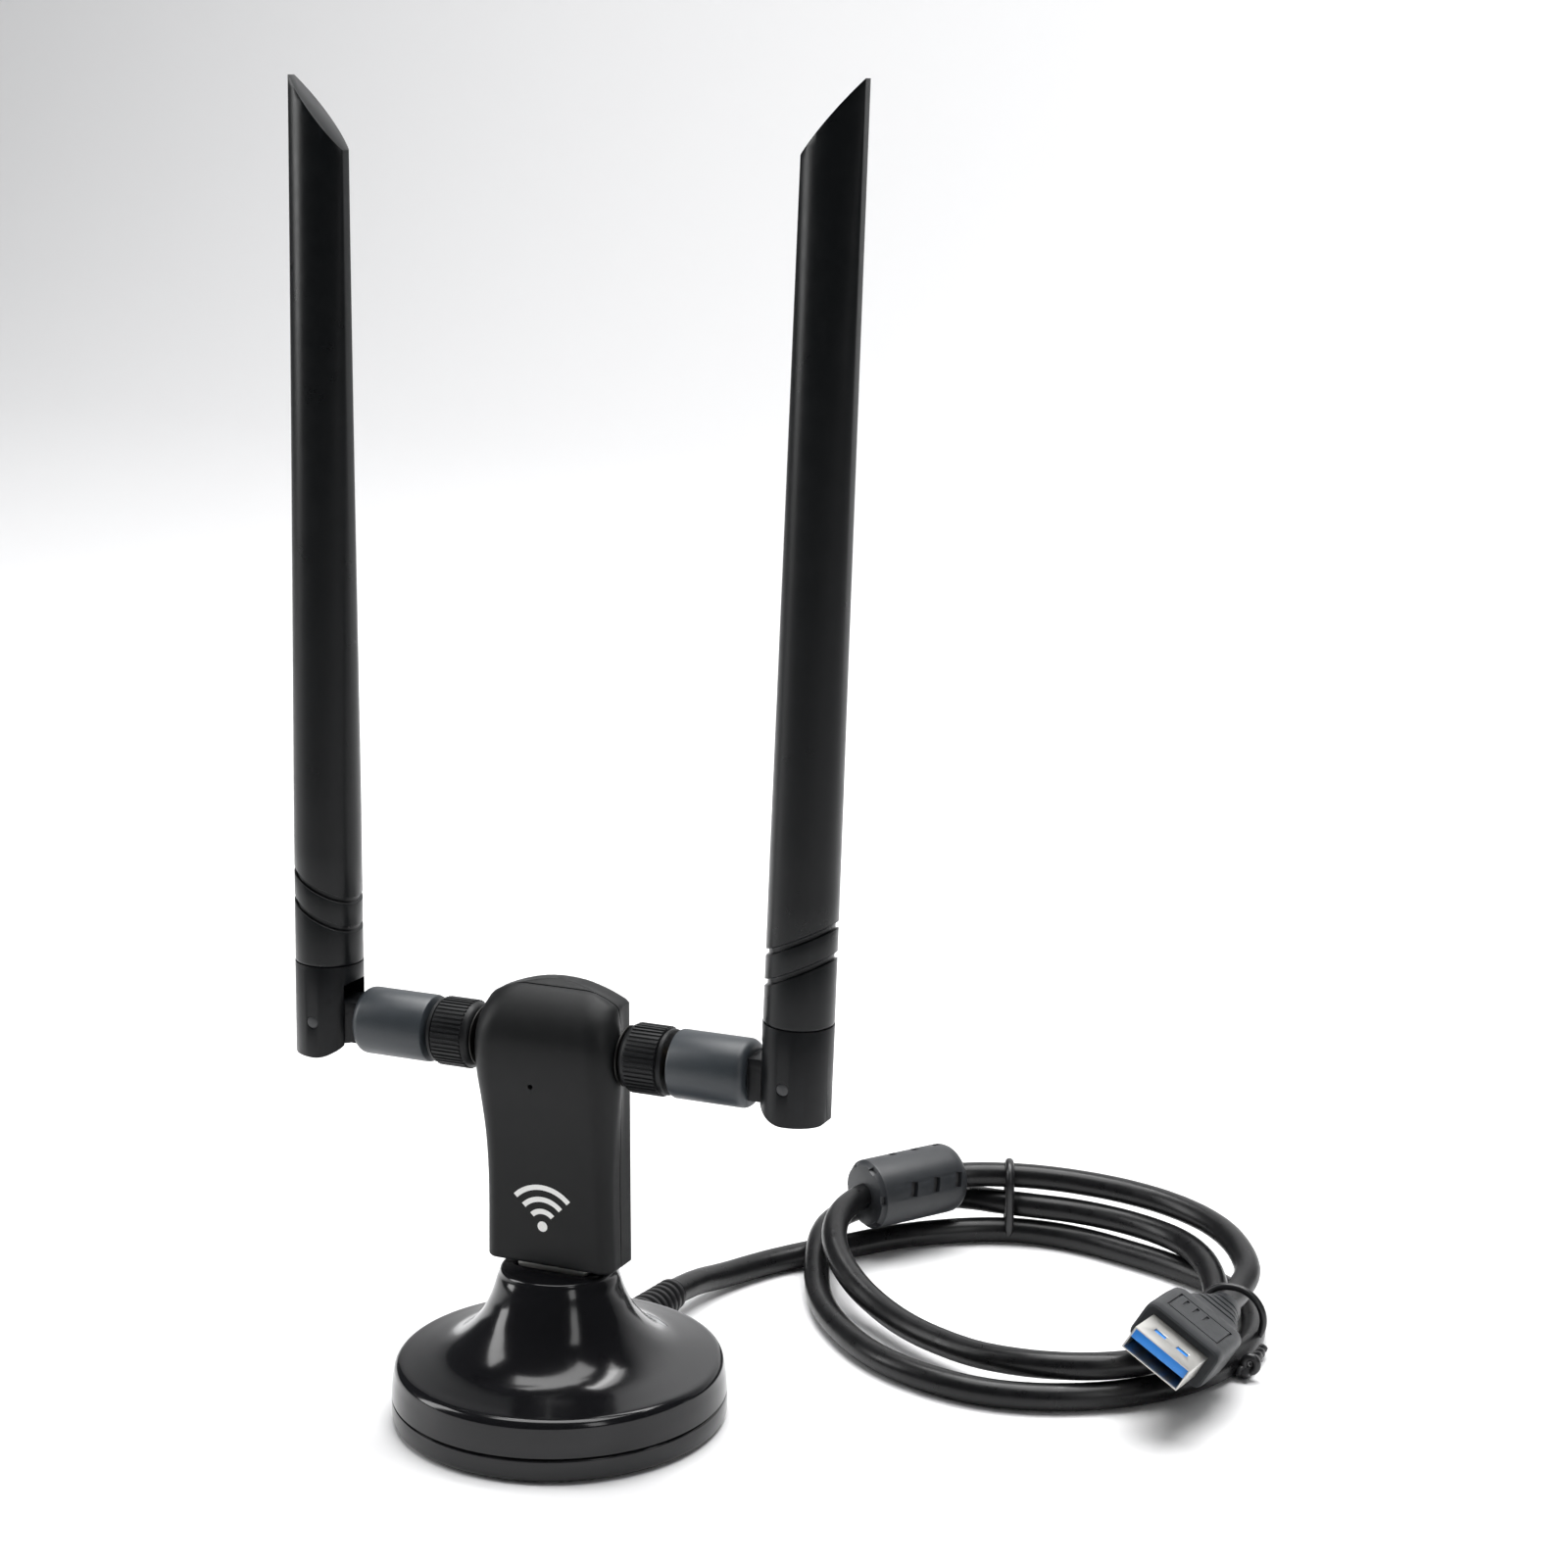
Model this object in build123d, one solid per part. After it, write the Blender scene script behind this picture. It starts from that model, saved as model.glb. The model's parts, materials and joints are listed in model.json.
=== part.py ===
from build123d import *
import math
import os

# Two-antenna USB wifi adapter standing in a weighted desk cradle with a cable.
# Millimetres. +Z is up, the adapter's front faces -Y, the cable leaves towards +Y.
# The origin is the centre of the cradle's underside, on the surface it stands on.

# ---- Cradle -------------------------------------------------------------------
cradle_radius = 29.6
cradle_floor = 0.5        # the foot ring lifts the base plate by this much
seam_height = 4.6
rim_height = 10.6         # top of the side wall
neck_radius = 10.1
neck_top = 28.0
neck_ceiling = 6.0        # depth of the solid ring round the neck's opening
shell_wall = 1.8
foot_radius = 26.0
foot_width = 4.0
foot_depth = 0.6          # how far the foot ring is let into the base plate
weight_radius = 19.0
board_radius = 20.0
board_thickness = 1.2
board_height = 8.0        # underside of the cradle's board
screw_circle = 23.2
screw_radius = 1.2
screw_head_radius = 2.3
screw_angles = (30, 150, 270)
boss_radius = 2.5
post_circle = 16.5
post_radius = 1.5
window_length = 6.5
window_width = 1.8
window_circle = 19.4
window_angle = 54

# ---- USB plug and socket ------------------------------------------------------
usb_width = 12.0
usb_height = 4.5
usb_metal = 0.3
usb_depth = 12.0          # how much of the plug the socket takes in
usb_tongue = 1.85
tongue_gap = 0.15         # from the plug's middle plane to the socket's tongue
socket_clearance = 0.2
contact_width = 1.0
contact_thickness = 0.06
contact_pitch = 2.0
contact_count = 4

# ---- Adapter ------------------------------------------------------------------
adapter_gap = 1.2         # from the cradle's neck to the adapter's underside
adapter_height = 50.2
adapter_wall = 1.6
# the rounded front: height above the underside, half width, depth to the front, corner radius
adapter_sections = (
    (0.0, 12.3, 4.5, 2.4),
    (14.0, 12.1, 4.7, 2.6),
    (22.0, 12.4, 5.1, 3.0),
    (28.5, 13.0, 5.9, 3.6),
    (34.0, 13.6, 6.8, 4.2),
    (39.5, 13.8, 7.3, 4.5),
    (43.2, 13.4, 6.9, 4.3),
    (46.0, 12.5, 5.5, 3.6),
    (47.9, 11.4, 3.8, 2.8),
    (48.9, 10.2, 2.2, 2.0),
    (49.3, 8.6, 1.0, 1.4),
)
front_lap = 2.0           # how far behind the middle the rounded front reaches
back_half_width = 12.2
back_depth = 4.9
back_arch = 3.1           # rise of the flat back's top from its corners to its middle
back_corner = 1.0
parting_y = 0.1
parting_gap = 0.25
pinhole_radius = 0.5
pinhole_x = -1.5
pinhole_z = 62.3
adapter_board_width = 19.0
adapter_board_thickness = 1.0

# ---- Antenna joint ------------------------------------------------------------
arm_height = 68.0         # height of the jacks, arms and hinge pins
jack_radius = 3.17
jack_start = 11.0
jack_end = 20.6
jack_shoulder_radius = 5.3
jack_shoulder_end = 14.2
jack_bore = 2.2
jack_pin_radius = 0.45
thread_clearance = 0.05
nut_radius = 6.05
nut_start = 14.4
nut_length = 8.2
nut_flutes = 36
flute_radius = 0.22
insert_wall = 1.2
ferrule_radius = 2.4
ferrule_start = 20.9
ferrule_end = 31.0
ferrule_flange = 3.8
running_clearance = 0.05
sleeve_radius = 5.95
sleeve_start = 23.6
sleeve_end = 37.8
knuckle_width = 6.6
knuckle_height = 7.4
knuckle_clearance = 0.12
hinge_x = 45.3
hinge_radius = 6.05
hinge_below = 6.5         # from the pin down to the hinge base's underside
hinge_above = 10.2        # from the pin up to the radome
hinge_corner = 0.8        # rounding of the hinge base's outer lower edge
pin_radius = 1.1
right_lean = 2.1          # degrees outward of upright, as stored
left_lean = -1.05

# ---- Radome -------------------------------------------------------------------
radome_radius = 6.0
radome_round_length = 30.0
radome_length = 152.8
blade_half_width = 5.2
blade_half_depth = 2.5
blade_edge = 1.0          # half the width of the blade's narrow side
tip_drop = 12.0           # how much lower the tip is on the inner side
radome_wall = 1.2
groove_heights = (9.3, 14.5)
groove_width = 1.0
groove_depth = 0.5
groove_drop = 5.8         # how much lower each groove is on the inner side
spigot_length = 6.0
coax_radius = 0.65

# ---- Cable --------------------------------------------------------------------
cable_radius = 2.5
cable_height = 5.4        # height at which the cable leaves the cradle
boot_start = 27.2
boot_length = 18.8        # from the inside of the wall to the boot's tip
boot_base_radius = 4.2
boot_tip_radius = 3.1
boot_ribs = 7
lead_route = (
    (0.0, 46.0, 5.4),
    (0.3, 54.0, 4.7),
    (2.2, 63.0, 2.9),
    (6.5, 73.0, 2.6),
    (12.6, 82.0, 2.6),
    (17.6, 87.4, 2.6),
)
coil_centre = (60.5, 72.0)
coil_inner_radius = 32.0
coil_outer_radius = 45.5
coil_bottom = 0.1
coil_height = 10.6
ferrite_middle = (27.0, 99.5, 13.2)
ferrite_turn = 56.5       # degrees from +X to the ferrite's length, seen from above
ferrite_radius = 7.0
ferrite_length = 22.0
ferrite_wall = 1.3
back_tie_at = (44.3, 111.2)
back_tie_turn = 22.0
back_tie_inside = (7.4, 16.0)
front_tie_at = (100.9, 75.5)
front_tie_inside = (13.2, 14.0)
tie_width = 2.2
tie_thickness = 0.8
tie_end_length = 11.0      # the front tie's twisted end, lying on the surface
plug_mouth = (99.7, 30.9, 15.7)
plug_pitch = 9.7          # degrees by which the plug's mouth points up
plug_roll = 30.7
plug_body_width = 16.0
plug_body_depth = 8.0
plug_body_length = 17.0
plug_tail_length = 16.0
plug_shell_length = 11.0  # how much of the plug's shell stands out of its body


def ring(outer, inner, bottom, height):
    """A flat ring or washer about the Z axis."""
    body = Pos(0, 0, bottom) * Cylinder(outer, height, align=(Align.CENTER, Align.CENTER, Align.MIN))
    bore = Pos(0, 0, bottom) * Cylinder(inner, height, align=(Align.CENTER, Align.CENTER, Align.MIN))
    return body - bore


def disc(radius, bottom, height):
    """A round plate about the Z axis."""
    return Pos(0, 0, bottom) * Cylinder(radius, height, align=(Align.CENTER, Align.CENTER, Align.MIN))


def block(width, depth, bottom, height, x=0.0, y=0.0):
    """A box centred in X and Y on (x, y), standing on the given height."""
    return Pos(x, y, bottom) * Box(width, depth, height, align=(Align.CENTER, Align.CENTER, Align.MIN))


def rod_x(radius, start, end, z=0.0):
    """A cylinder along X."""
    bar = Cylinder(radius, end - start, align=(Align.CENTER, Align.CENTER, Align.MIN))
    return Pos(start, 0, z) * Rot(0, 90, 0) * bar


def rod_y(radius, start, end, x=0.0, z=0.0):
    """A cylinder along Y."""
    bar = Cylinder(radius, end - start, align=(Align.CENTER, Align.CENTER, Align.MIN))
    return Pos(x, start, z) * Rot(-90, 0, 0) * bar


def group(pieces):
    """Separate solids kept together in one node."""
    return Compound(children=list(pieces))


def closed_face(parts):
    """The face inside a closed chain of lines and curves."""
    return make_face(Wire([edge for part in parts for edge in part.edges()]))


def revolved(points):
    """A solid of revolution about Z from a closed outline of (radius, height) points."""
    outline = make_face(Polyline(*[(r, 0, z) for r, z in points], close=True))
    return revolve(outline, Axis.Z)


# ---- Cradle pieces ------------------------------------------------------------
def flare_points(inset):
    """The cover's concave flare, from the rim up to the neck, set inwards by the inset."""
    span = cradle_radius - 2.2 - neck_radius
    rise = neck_top - 1.0 - (rim_height + 0.7)
    shape = ((0.0, 0.0), (0.38, 0.10), (0.575, 0.23), (0.78, 0.47), (0.89, 0.70), (1.0, 1.0))
    points = [(cradle_radius - 2.2 - span * a, rim_height + 0.7 + rise * b) for a, b in shape]
    moved = []
    for index, (radius, height) in enumerate(points):
        before = points[max(index - 1, 0)]
        after = points[min(index + 1, len(points) - 1)]
        run = math.hypot(after[0] - before[0], after[1] - before[1])
        moved.append((radius - inset * (after[1] - before[1]) / run,
                      height + inset * (after[0] - before[0]) / run))
    return moved


def cover_profile(inset):
    """The cover's side, rim and flare as curves in the XZ plane, from the seam up to the neck."""
    flare = flare_points(inset)
    side = cradle_radius - inset
    edge = side - 0.5
    shoulder = flare[0]
    return [
        Line((side, 0, seam_height), (edge, 0, rim_height - inset - 0.9)),
        ThreePointArc((edge, 0, rim_height - inset - 0.9),
                      ((edge + shoulder[0]) / 2 + 0.35, 0, rim_height - inset + 0.28),
                      (shoulder[0], 0, shoulder[1])),
        Spline(*[(r, 0, z) for r, z in flare]),
    ]


def cover_envelope():
    """The cover's outer form, filled."""
    radius, height = flare_points(0.0)[-1]
    lines = cover_profile(0.0) + [
        ThreePointArc((radius, 0, height), (radius - 0.25, 0, height + 0.75), (radius - 1.0, 0, neck_top)),
        Polyline((radius - 1.0, 0, neck_top), (0, 0, neck_top), (0, 0, seam_height),
                 (cradle_radius, 0, seam_height)),
    ]
    return revolve(closed_face(lines), Axis.Z)


def cover_hollow():
    """The space under the cover, with a flat ceiling round the neck's opening."""
    radius, height = flare_points(shell_wall)[-1]
    side = cradle_radius - shell_wall
    lines = cover_profile(shell_wall) + [
        Polyline((radius, 0, height), (0, 0, height), (0, 0, seam_height), (side, 0, seam_height))]
    return revolve(closed_face(lines), Axis.Z) & disc(cradle_radius, 0, neck_top - neck_ceiling)


def boot_hole():
    """The round way through the wall for the cable's boot."""
    return rod_y(boot_base_radius - 0.9, cradle_radius - 6, cradle_radius + 4, z=cable_height)


def window_prism(grow):
    """The oval light window's upright prism, as it lies on the cover."""
    oval = SlotOverall(window_length + grow, window_width + grow, rotation=90)
    bar = extrude(oval, amount=neck_top - board_height - board_thickness - 1.0)
    bottom = board_height + board_thickness + 1.0
    return Rot(0, 0, window_angle) * Pos(window_circle, 0, bottom) * bar


def at_angles(piece, angles, radius):
    """Copies of a piece round the Z axis."""
    return [Rot(0, 0, angle) * Pos(radius, 0, 0) * piece for angle in angles]


def socket_outer(bottom, height, grow=0.0):
    """The USB socket's outer box, which the neck's opening also follows."""
    width = usb_width + 2 * (socket_clearance + usb_metal + grow)
    depth = usb_height + 2 * (socket_clearance + usb_metal + grow)
    return block(width, depth, bottom, height)


def cradle_cover():
    hollow = cover_hollow()
    boss = disc(boss_radius, seam_height + 0.2, rim_height)
    post = disc(post_radius, board_height + board_thickness, rim_height)
    supports = at_angles(boss, screw_angles, screw_circle)
    supports += at_angles(post, [a + 60 for a in screw_angles], post_circle)
    shell = cover_envelope() - hollow
    for support in supports:
        shell += support & cover_envelope()
    for pilot in at_angles(disc(screw_radius, 0, 9.4), screw_angles, screw_circle):
        shell -= pilot
    shell -= socket_outer(neck_top - 8, 20)
    shell -= socket_outer(neck_top - 1.0, 20, grow=0.7)
    shell -= window_prism(0.0)
    shell -= boot_hole()
    shell -= boot_flange()
    return shell


def boot_flange():
    """The boot's flange, which sits inside the wall."""
    return rod_y(boot_base_radius, boot_start - 1.6, boot_start + 0.1, z=cable_height)


def cradle_base():
    plate = disc(cradle_radius, cradle_floor, seam_height - cradle_floor)
    plate = chamfer(plate.edges().group_by(Axis.Z)[0], 0.7)
    plate = chamfer(plate.edges().group_by(Axis.Z)[-1], 0.3)
    plate -= disc(cradle_radius - shell_wall, cradle_floor + shell_wall, seam_height)
    plate -= ring(foot_radius, foot_radius - foot_width, 0.0, cradle_floor + foot_depth)
    for hole in at_angles(disc(screw_radius, 0, seam_height), screw_angles, screw_circle):
        plate -= hole
    recess = disc(screw_head_radius, 0, cradle_floor + 1.2)
    for hole in at_angles(recess, screw_angles, screw_circle):
        plate -= hole
    plate -= boot_hole()
    plate -= boot_flange()
    return plate


def cradle_foot():
    """A soft ring under the rim. The screws are reached through its three gaps."""
    pad = ring(foot_radius, foot_radius - foot_width, 0.0, cradle_floor + foot_depth)
    for gap in at_angles(disc(screw_head_radius, -1, 4), screw_angles, screw_circle):
        pad -= gap
    return pad


def cradle_weight():
    bottom = cradle_floor + shell_wall
    slug = disc(weight_radius, bottom, board_height - bottom)
    slug = chamfer(slug.edges(), 0.5)
    channel = block(2 * cable_radius + 1.2, weight_radius, 0, 20, y=weight_radius)
    return slug - channel


def cradle_screws():
    head = disc(screw_head_radius, cradle_floor, 1.2)
    shank = disc(screw_radius, cradle_floor, 8.9)
    drive = block(2.6, 0.5, cradle_floor, 0.6) + block(0.5, 2.6, cradle_floor, 0.6)
    return group(at_angles(head + shank - drive, screw_angles, screw_circle))


def cradle_board():
    return disc(board_radius, board_height, board_thickness)


def socket_bottom():
    return board_height + board_thickness


def socket_shell():
    bottom = socket_bottom()
    lip = neck_top + 0.5
    tube = socket_outer(bottom, lip - bottom)
    tube -= socket_outer(bottom + 1.0, lip, grow=-usb_metal)
    return tube


def socket_tongue():
    """The socket's plastic floor with the tongue that the plug closes over."""
    bottom = socket_bottom() + 1.0
    floor_top = neck_top + adapter_gap - usb_depth - 0.4
    width = usb_width + 2 * socket_clearance
    depth = usb_height + 2 * socket_clearance
    thickness = usb_tongue - 0.25
    tongue = block(usb_width - 2 * usb_metal - 0.4, thickness, bottom,
                   neck_top - 1.2 - bottom, y=thickness / 2 + tongue_gap)
    return block(width, depth, bottom, floor_top - bottom) + tongue


def contact_row(start, length, y):
    """Flat spring contacts side by side."""
    first = -contact_pitch * (contact_count - 1) / 2
    strips = []
    for index in range(contact_count):
        strips.append(block(contact_width, contact_thickness, start, length, first + index * contact_pitch, y))
    return strips


def socket_contacts():
    floor_top = neck_top + adapter_gap - usb_depth - 0.4
    return group(contact_row(floor_top, 7.5, tongue_gap - contact_thickness / 2))


def indicator_window():
    return window_prism(0.0) & cover_envelope()


def indicator_led():
    lamp = block(1.6, 3.2, board_height + board_thickness, 0.9, x=window_circle - 1.2)
    return Rot(0, 0, window_angle) * lamp


def cable_boot():
    """Ribbed, tapered strain relief with a flange inside the wall."""
    outline = [(cable_radius, boot_start - 1.6), (boot_base_radius, boot_start - 1.6)]
    outline += [(boot_base_radius, boot_start + 0.1), (boot_base_radius - 0.9, boot_start + 0.1)]
    outline += [(boot_base_radius - 0.9, cradle_radius)]
    ribbed = boot_start + boot_length - cradle_radius
    pitch = ribbed / boot_ribs
    for rib in range(boot_ribs):
        start = cradle_radius + rib * pitch
        radius = boot_base_radius + (boot_tip_radius - boot_base_radius) * rib / (boot_ribs - 1)
        core = radius - 0.75
        outline += [(core if rib else boot_base_radius - 0.9, start + 0.12 * pitch),
                    (radius, start + 0.2 * pitch), (radius, start + 0.72 * pitch),
                    (core, start + 0.8 * pitch)]
    outline += [(boot_tip_radius - 0.5, boot_start + boot_length),
                (cable_radius, boot_start + boot_length)]
    body = revolved(outline)
    return Pos(0, 0, cable_height) * Rot(-90, 0, 0) * body


def cable_tail():
    """The cable's end inside the cradle, from the boot to the board."""
    return rod_y(cable_radius, 9.5, boot_start + boot_length, z=cable_height)


# ---- Adapter pieces -----------------------------------------------------------
def adapter_bottom():
    return neck_top + adapter_gap


def casing(inset):
    """The casing's form: a rounded front joined to a flat back, set inwards by the inset."""
    rise = adapter_height / (adapter_sections[-1][0] + 0.2)
    usable = [section for section in adapter_sections if section[2] + front_lap > 2 * inset + 2]
    faces = []
    for height, half, front, corner in usable:
        level = adapter_bottom() + height * rise
        if height == usable[0][0]:
            level += inset
        if height == usable[-1][0]:
            level -= inset
        depth = front + front_lap - 2 * inset
        rounded = RectangleRounded(2 * (half - inset), depth, min(max(corner - inset, 0.6), depth / 2.1))
        faces.append(Pos(0, (front_lap - front) / 2, level) * rounded)
    return loft(Sketch() + faces, ruled=True) + flat_back(inset)


def flat_back(inset):
    """Upright plate with an arched top, behind the casing's rounded front."""
    half = back_half_width - inset
    bottom = adapter_bottom() + inset
    top = adapter_bottom() + adapter_height - inset
    side_top = top - back_arch
    outline = closed_face([
        Polyline((-half, 0, side_top), (-half, 0, bottom), (half, 0, bottom), (half, 0, side_top)),
        ThreePointArc((half, 0, side_top), (0, 0, top), (-half, 0, side_top)),
    ])
    plate = extrude(outline, amount=back_depth - inset, dir=(0, 1, 0))
    rounded = max(back_corner - inset, 0.0)
    if rounded:
        plate = fillet(plate.edges().filter_by(Axis.Y).group_by(Axis.Z)[-1], rounded)
        plate = fillet(plate.faces().sort_by(Axis.Y)[-1].edges(), rounded * 0.6)
    return plate


def casing_shell():
    """Both halves of the casing together, with every opening."""
    shell = casing(0.0) - casing(adapter_wall)
    shell -= block(usb_width, usb_height, adapter_bottom() - 1, adapter_wall + 2)
    shell -= rod_x(jack_radius, -20, 20, z=arm_height)
    deepest = max(front for height, half, front, corner in adapter_sections)
    shell -= rod_y(pinhole_radius, -deepest - 1, -adapter_wall, x=pinhole_x, z=pinhole_z)
    return shell


def adapter_front_shell():
    keep = block(60, 40, 0, 120, y=parting_y - parting_gap / 2 - 20)
    return casing_shell() & keep


def adapter_rear_shell():
    keep = block(60, 40, 0, 120, y=parting_y + parting_gap / 2 + 20)
    return casing_shell() & keep


def plug_bottom():
    return adapter_bottom() - usb_depth


def usb_shell(bottom, length):
    """A bare USB plug shell, open at the bottom."""
    tube = block(usb_width, usb_height, bottom, length)
    tube -= block(usb_width - 2 * usb_metal, usb_height - 2 * usb_metal, bottom - 1, length + 2)
    for x in (-usb_width / 5, usb_width / 5):
        tube -= block(2.4, 10, bottom + 4.5, 1.6, x=x, y=-6)
    return tube


def usb_tongue_bar(bottom, length):
    """The plastic tongue on the front side of a plug's shell."""
    depth = usb_height - 2 * usb_metal
    bar = block(usb_width - 2 * usb_metal, usb_tongue, bottom, length, y=(usb_tongue - depth) / 2)
    return bar


def adapter_plug_shell():
    return usb_shell(plug_bottom(), usb_depth + 4.0)


def adapter_plug_tongue():
    start = plug_bottom() + 0.4
    return usb_tongue_bar(start, usb_depth + 3.6)


def adapter_plug_contacts():
    face = usb_tongue - (usb_height - 2 * usb_metal) / 2
    return group(contact_row(plug_bottom() + 1.2, usb_depth - 2.0, face + contact_thickness / 2))


def adapter_board():
    start = plug_bottom() + usb_depth + 4.2
    top = arm_height + 6.0
    return block(adapter_board_width, adapter_board_thickness, start, top - start)


def adapter_shield():
    face = adapter_board_thickness / 2
    return block(14.0, 1.8, adapter_bottom() + 12, 16.0, y=face + 0.9)


def adapter_chips():
    face = -adapter_board_thickness / 2
    start = adapter_bottom() + 9
    chips = [block(7.0, 0.9, start, 7.0, x=-3.5, y=face - 0.45)]
    chips.append(block(3.2, 1.0, start + 1.0, 2.5, x=5.0, y=face - 0.5))
    chips.append(block(3.5, 0.8, start + 12, 3.5, x=4.0, y=face - 0.4))
    return group(chips)


def status_led():
    face = -adapter_board_thickness / 2
    return block(1.6, 0.8, pinhole_z - 0.6, 1.2, x=pinhole_x, y=face - 0.4)


# ---- Antenna pieces, right-hand side, pointing along +X -----------------------
def jack():
    barrel = rod_x(jack_radius - thread_clearance, jack_start, jack_end, z=arm_height)
    barrel += rod_x(jack_shoulder_radius, casing_side() + 0.1, jack_shoulder_end, z=arm_height)
    return barrel - rod_x(jack_bore, jack_start + 1.0, jack_end + 1, z=arm_height)


def casing_side():
    """Half width of the casing at the jacks."""
    return max(half for height, half, front, corner in adapter_sections)


def jack_insulator():
    plug = rod_x(jack_bore, jack_start + 1.0, jack_end - 3.2, z=arm_height)
    return plug - rod_x(jack_pin_radius, jack_start, jack_end, z=arm_height)


def jack_pin():
    return rod_x(jack_pin_radius, jack_start + 1.0, jack_end - 0.6, z=arm_height)


def nut():
    """Knurled coupling nut with smooth collars."""
    end = nut_start + nut_length
    outline = [(0, nut_start), (nut_radius - 0.9, nut_start), (nut_radius - 0.25, nut_start + 0.9),
               (nut_radius - 0.25, nut_start + 1.3), (nut_radius, nut_start + 1.5),
               (nut_radius, end - 1.3), (nut_radius - 0.35, end - 1.1),
               (nut_radius - 0.35, end - 0.4), (nut_radius - 0.7, end), (0, end)]
    body = Pos(0, 0, arm_height) * Rot(0, 90, 0) * revolved(outline)
    flutes = []
    for index in range(nut_flutes):
        angle = 360 * index / nut_flutes
        flute = rod_x(flute_radius, nut_start + 1.5, end - 1.3, z=nut_radius)
        flutes.append(Pos(0, 0, arm_height) * Rot(angle, 0, 0) * flute)
    body -= flutes
    body -= rod_x(insert_outer(), nut_start + 0.5, ferrule_start - 0.3, z=arm_height)
    body -= rod_x(jack_radius + 0.4, nut_start - 1, nut_start + 1, z=arm_height)
    body -= rod_x(ferrule_flange + 0.15, ferrule_start - 0.31, ferrule_start + 1.1, z=arm_height)
    body -= rod_x(ferrule_radius + running_clearance, ferrule_start, end + 1, z=arm_height)
    return body


def insert_outer():
    return jack_radius + insert_wall


def nut_insert():
    sleeve = rod_x(insert_outer(), nut_start + 0.5, ferrule_start - 0.3, z=arm_height)
    return sleeve - rod_x(jack_radius, nut_start, ferrule_start, z=arm_height)


def ferrule():
    """Metal core that the nut and the arm both turn on."""
    core = rod_x(ferrule_radius, ferrule_start, ferrule_end, z=arm_height)
    core += rod_x(ferrule_flange, ferrule_start, ferrule_start + 0.9, z=arm_height)
    core += rod_x(ferrule_radius + 0.8, ferrule_end - 0.9, ferrule_end, z=arm_height)
    return core - rod_x(1.3, ferrule_start - 1, ferrule_end + 1, z=arm_height)


def ferrule_contact():
    """Spring contact and its insulating sleeve through the ferrule."""
    contact = rod_x(1.3, ferrule_start, ferrule_end, z=arm_height)
    contact += rod_x(0.85, jack_end - 2.4, ferrule_start, z=arm_height)
    return contact - rod_x(jack_pin_radius + running_clearance, jack_end - 3, jack_end + 1, z=arm_height)


def arm_sleeve():
    tube = rod_x(sleeve_radius, sleeve_start, sleeve_end, z=arm_height)
    ends = tube.edges().filter_by(GeomType.CIRCLE).sort_by(Axis.X)
    tube = fillet(ends[-1], 1.4)
    tube = chamfer(tube.edges().filter_by(GeomType.CIRCLE).sort_by(Axis.X)[0], 0.35)
    head = ferrule_radius + 0.8 + running_clearance
    tube -= rod_x(ferrule_radius + running_clearance, 0, ferrule_end, z=arm_height)
    tube -= rod_x(head, ferrule_end - 1.0, ferrule_end + 0.3, z=arm_height)
    tube -= rod_x(knuckle_shank(), ferrule_end + 0.3, sleeve_end + 1, z=arm_height)
    return tube


def knuckle_shank():
    return math.hypot(knuckle_width / 2, knuckle_height / 2) * 0.84


def arm_knuckle():
    """Tongue that carries the hinge pin, with a shank glued into the sleeve."""
    shank = rod_x(knuckle_shank(), ferrule_end + 0.3, sleeve_end, z=arm_height)
    length = hinge_x - sleeve_end
    tongue = Pos(sleeve_end, 0, arm_height) * Box(
        length, knuckle_width, knuckle_height, align=(Align.MIN, Align.CENTER, Align.CENTER))
    eye = rod_y(knuckle_height / 2, -knuckle_width / 2, knuckle_width / 2, hinge_x, arm_height)
    shank += tongue + eye
    return shank - rod_y(pin_radius + running_clearance, -10, 10, hinge_x, arm_height)


def lean(piece, degrees):
    """Lean an upright antenna piece outwards about the hinge pin."""
    return Pos(hinge_x, 0, arm_height) * Rot(0, degrees, 0) * piece


def hinge_base():
    """Forked foot of the antenna, drawn about the pin, with the fork open to the arm and below."""
    body = disc(hinge_radius, -hinge_below, hinge_below + hinge_above)
    inner_corner = block(20, 20, -20, 20, x=-10) - rod_y(hinge_below, -20, 20)
    centre_x = hinge_radius - hinge_corner
    centre_z = hinge_corner - hinge_below
    outer_corner = block(20, 20, centre_z - 20, 20, x=centre_x + 10)
    outer_corner -= rod_y(hinge_corner, -20, 20, centre_x, centre_z)
    body -= inner_corner
    body -= outer_corner
    reach = knuckle_height / 2 + 0.3
    half = knuckle_width / 2 + knuckle_clearance
    corners = [(-8, -9), (reach, -9), (reach, 0), (0, reach), (-8, reach + 4.4)]
    slot = make_face(Polyline(*[(x, 0, z) for x, z in corners], close=True))
    slot = extrude(slot, amount=half, dir=(0, 1, 0), both=True)
    body -= slot
    body -= rod_y(reach, -half, half)
    body -= rod_y(pin_radius, -10, 10)
    body += disc(radome_radius - radome_wall - 0.1, hinge_above, spigot_length)
    body -= disc(coax_radius, 0, 30)
    return body


def hinge_pin():
    return rod_y(pin_radius, -hinge_radius + 0.1, hinge_radius - 0.1)


def radome_section(level, half_width, half_depth, edge, inset, crown):
    """Four arcs: two broad faces and two narrow sides that bulge by the crown."""
    width = half_width - inset
    depth = half_depth - inset
    edge_half = edge * depth / half_depth
    corner_y = edge_half
    corner_x = width - crown
    arcs = [
        ThreePointArc((-corner_x, -corner_y), (0, -depth), (corner_x, -corner_y)),
        ThreePointArc((corner_x, -corner_y), (width, 0), (corner_x, corner_y)),
        ThreePointArc((corner_x, corner_y), (0, depth), (-corner_x, corner_y)),
        ThreePointArc((-corner_x, corner_y), (-width, 0), (-corner_x, -corner_y)),
    ]
    return Pos(0, 0, level) * closed_face(arcs)


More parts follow.
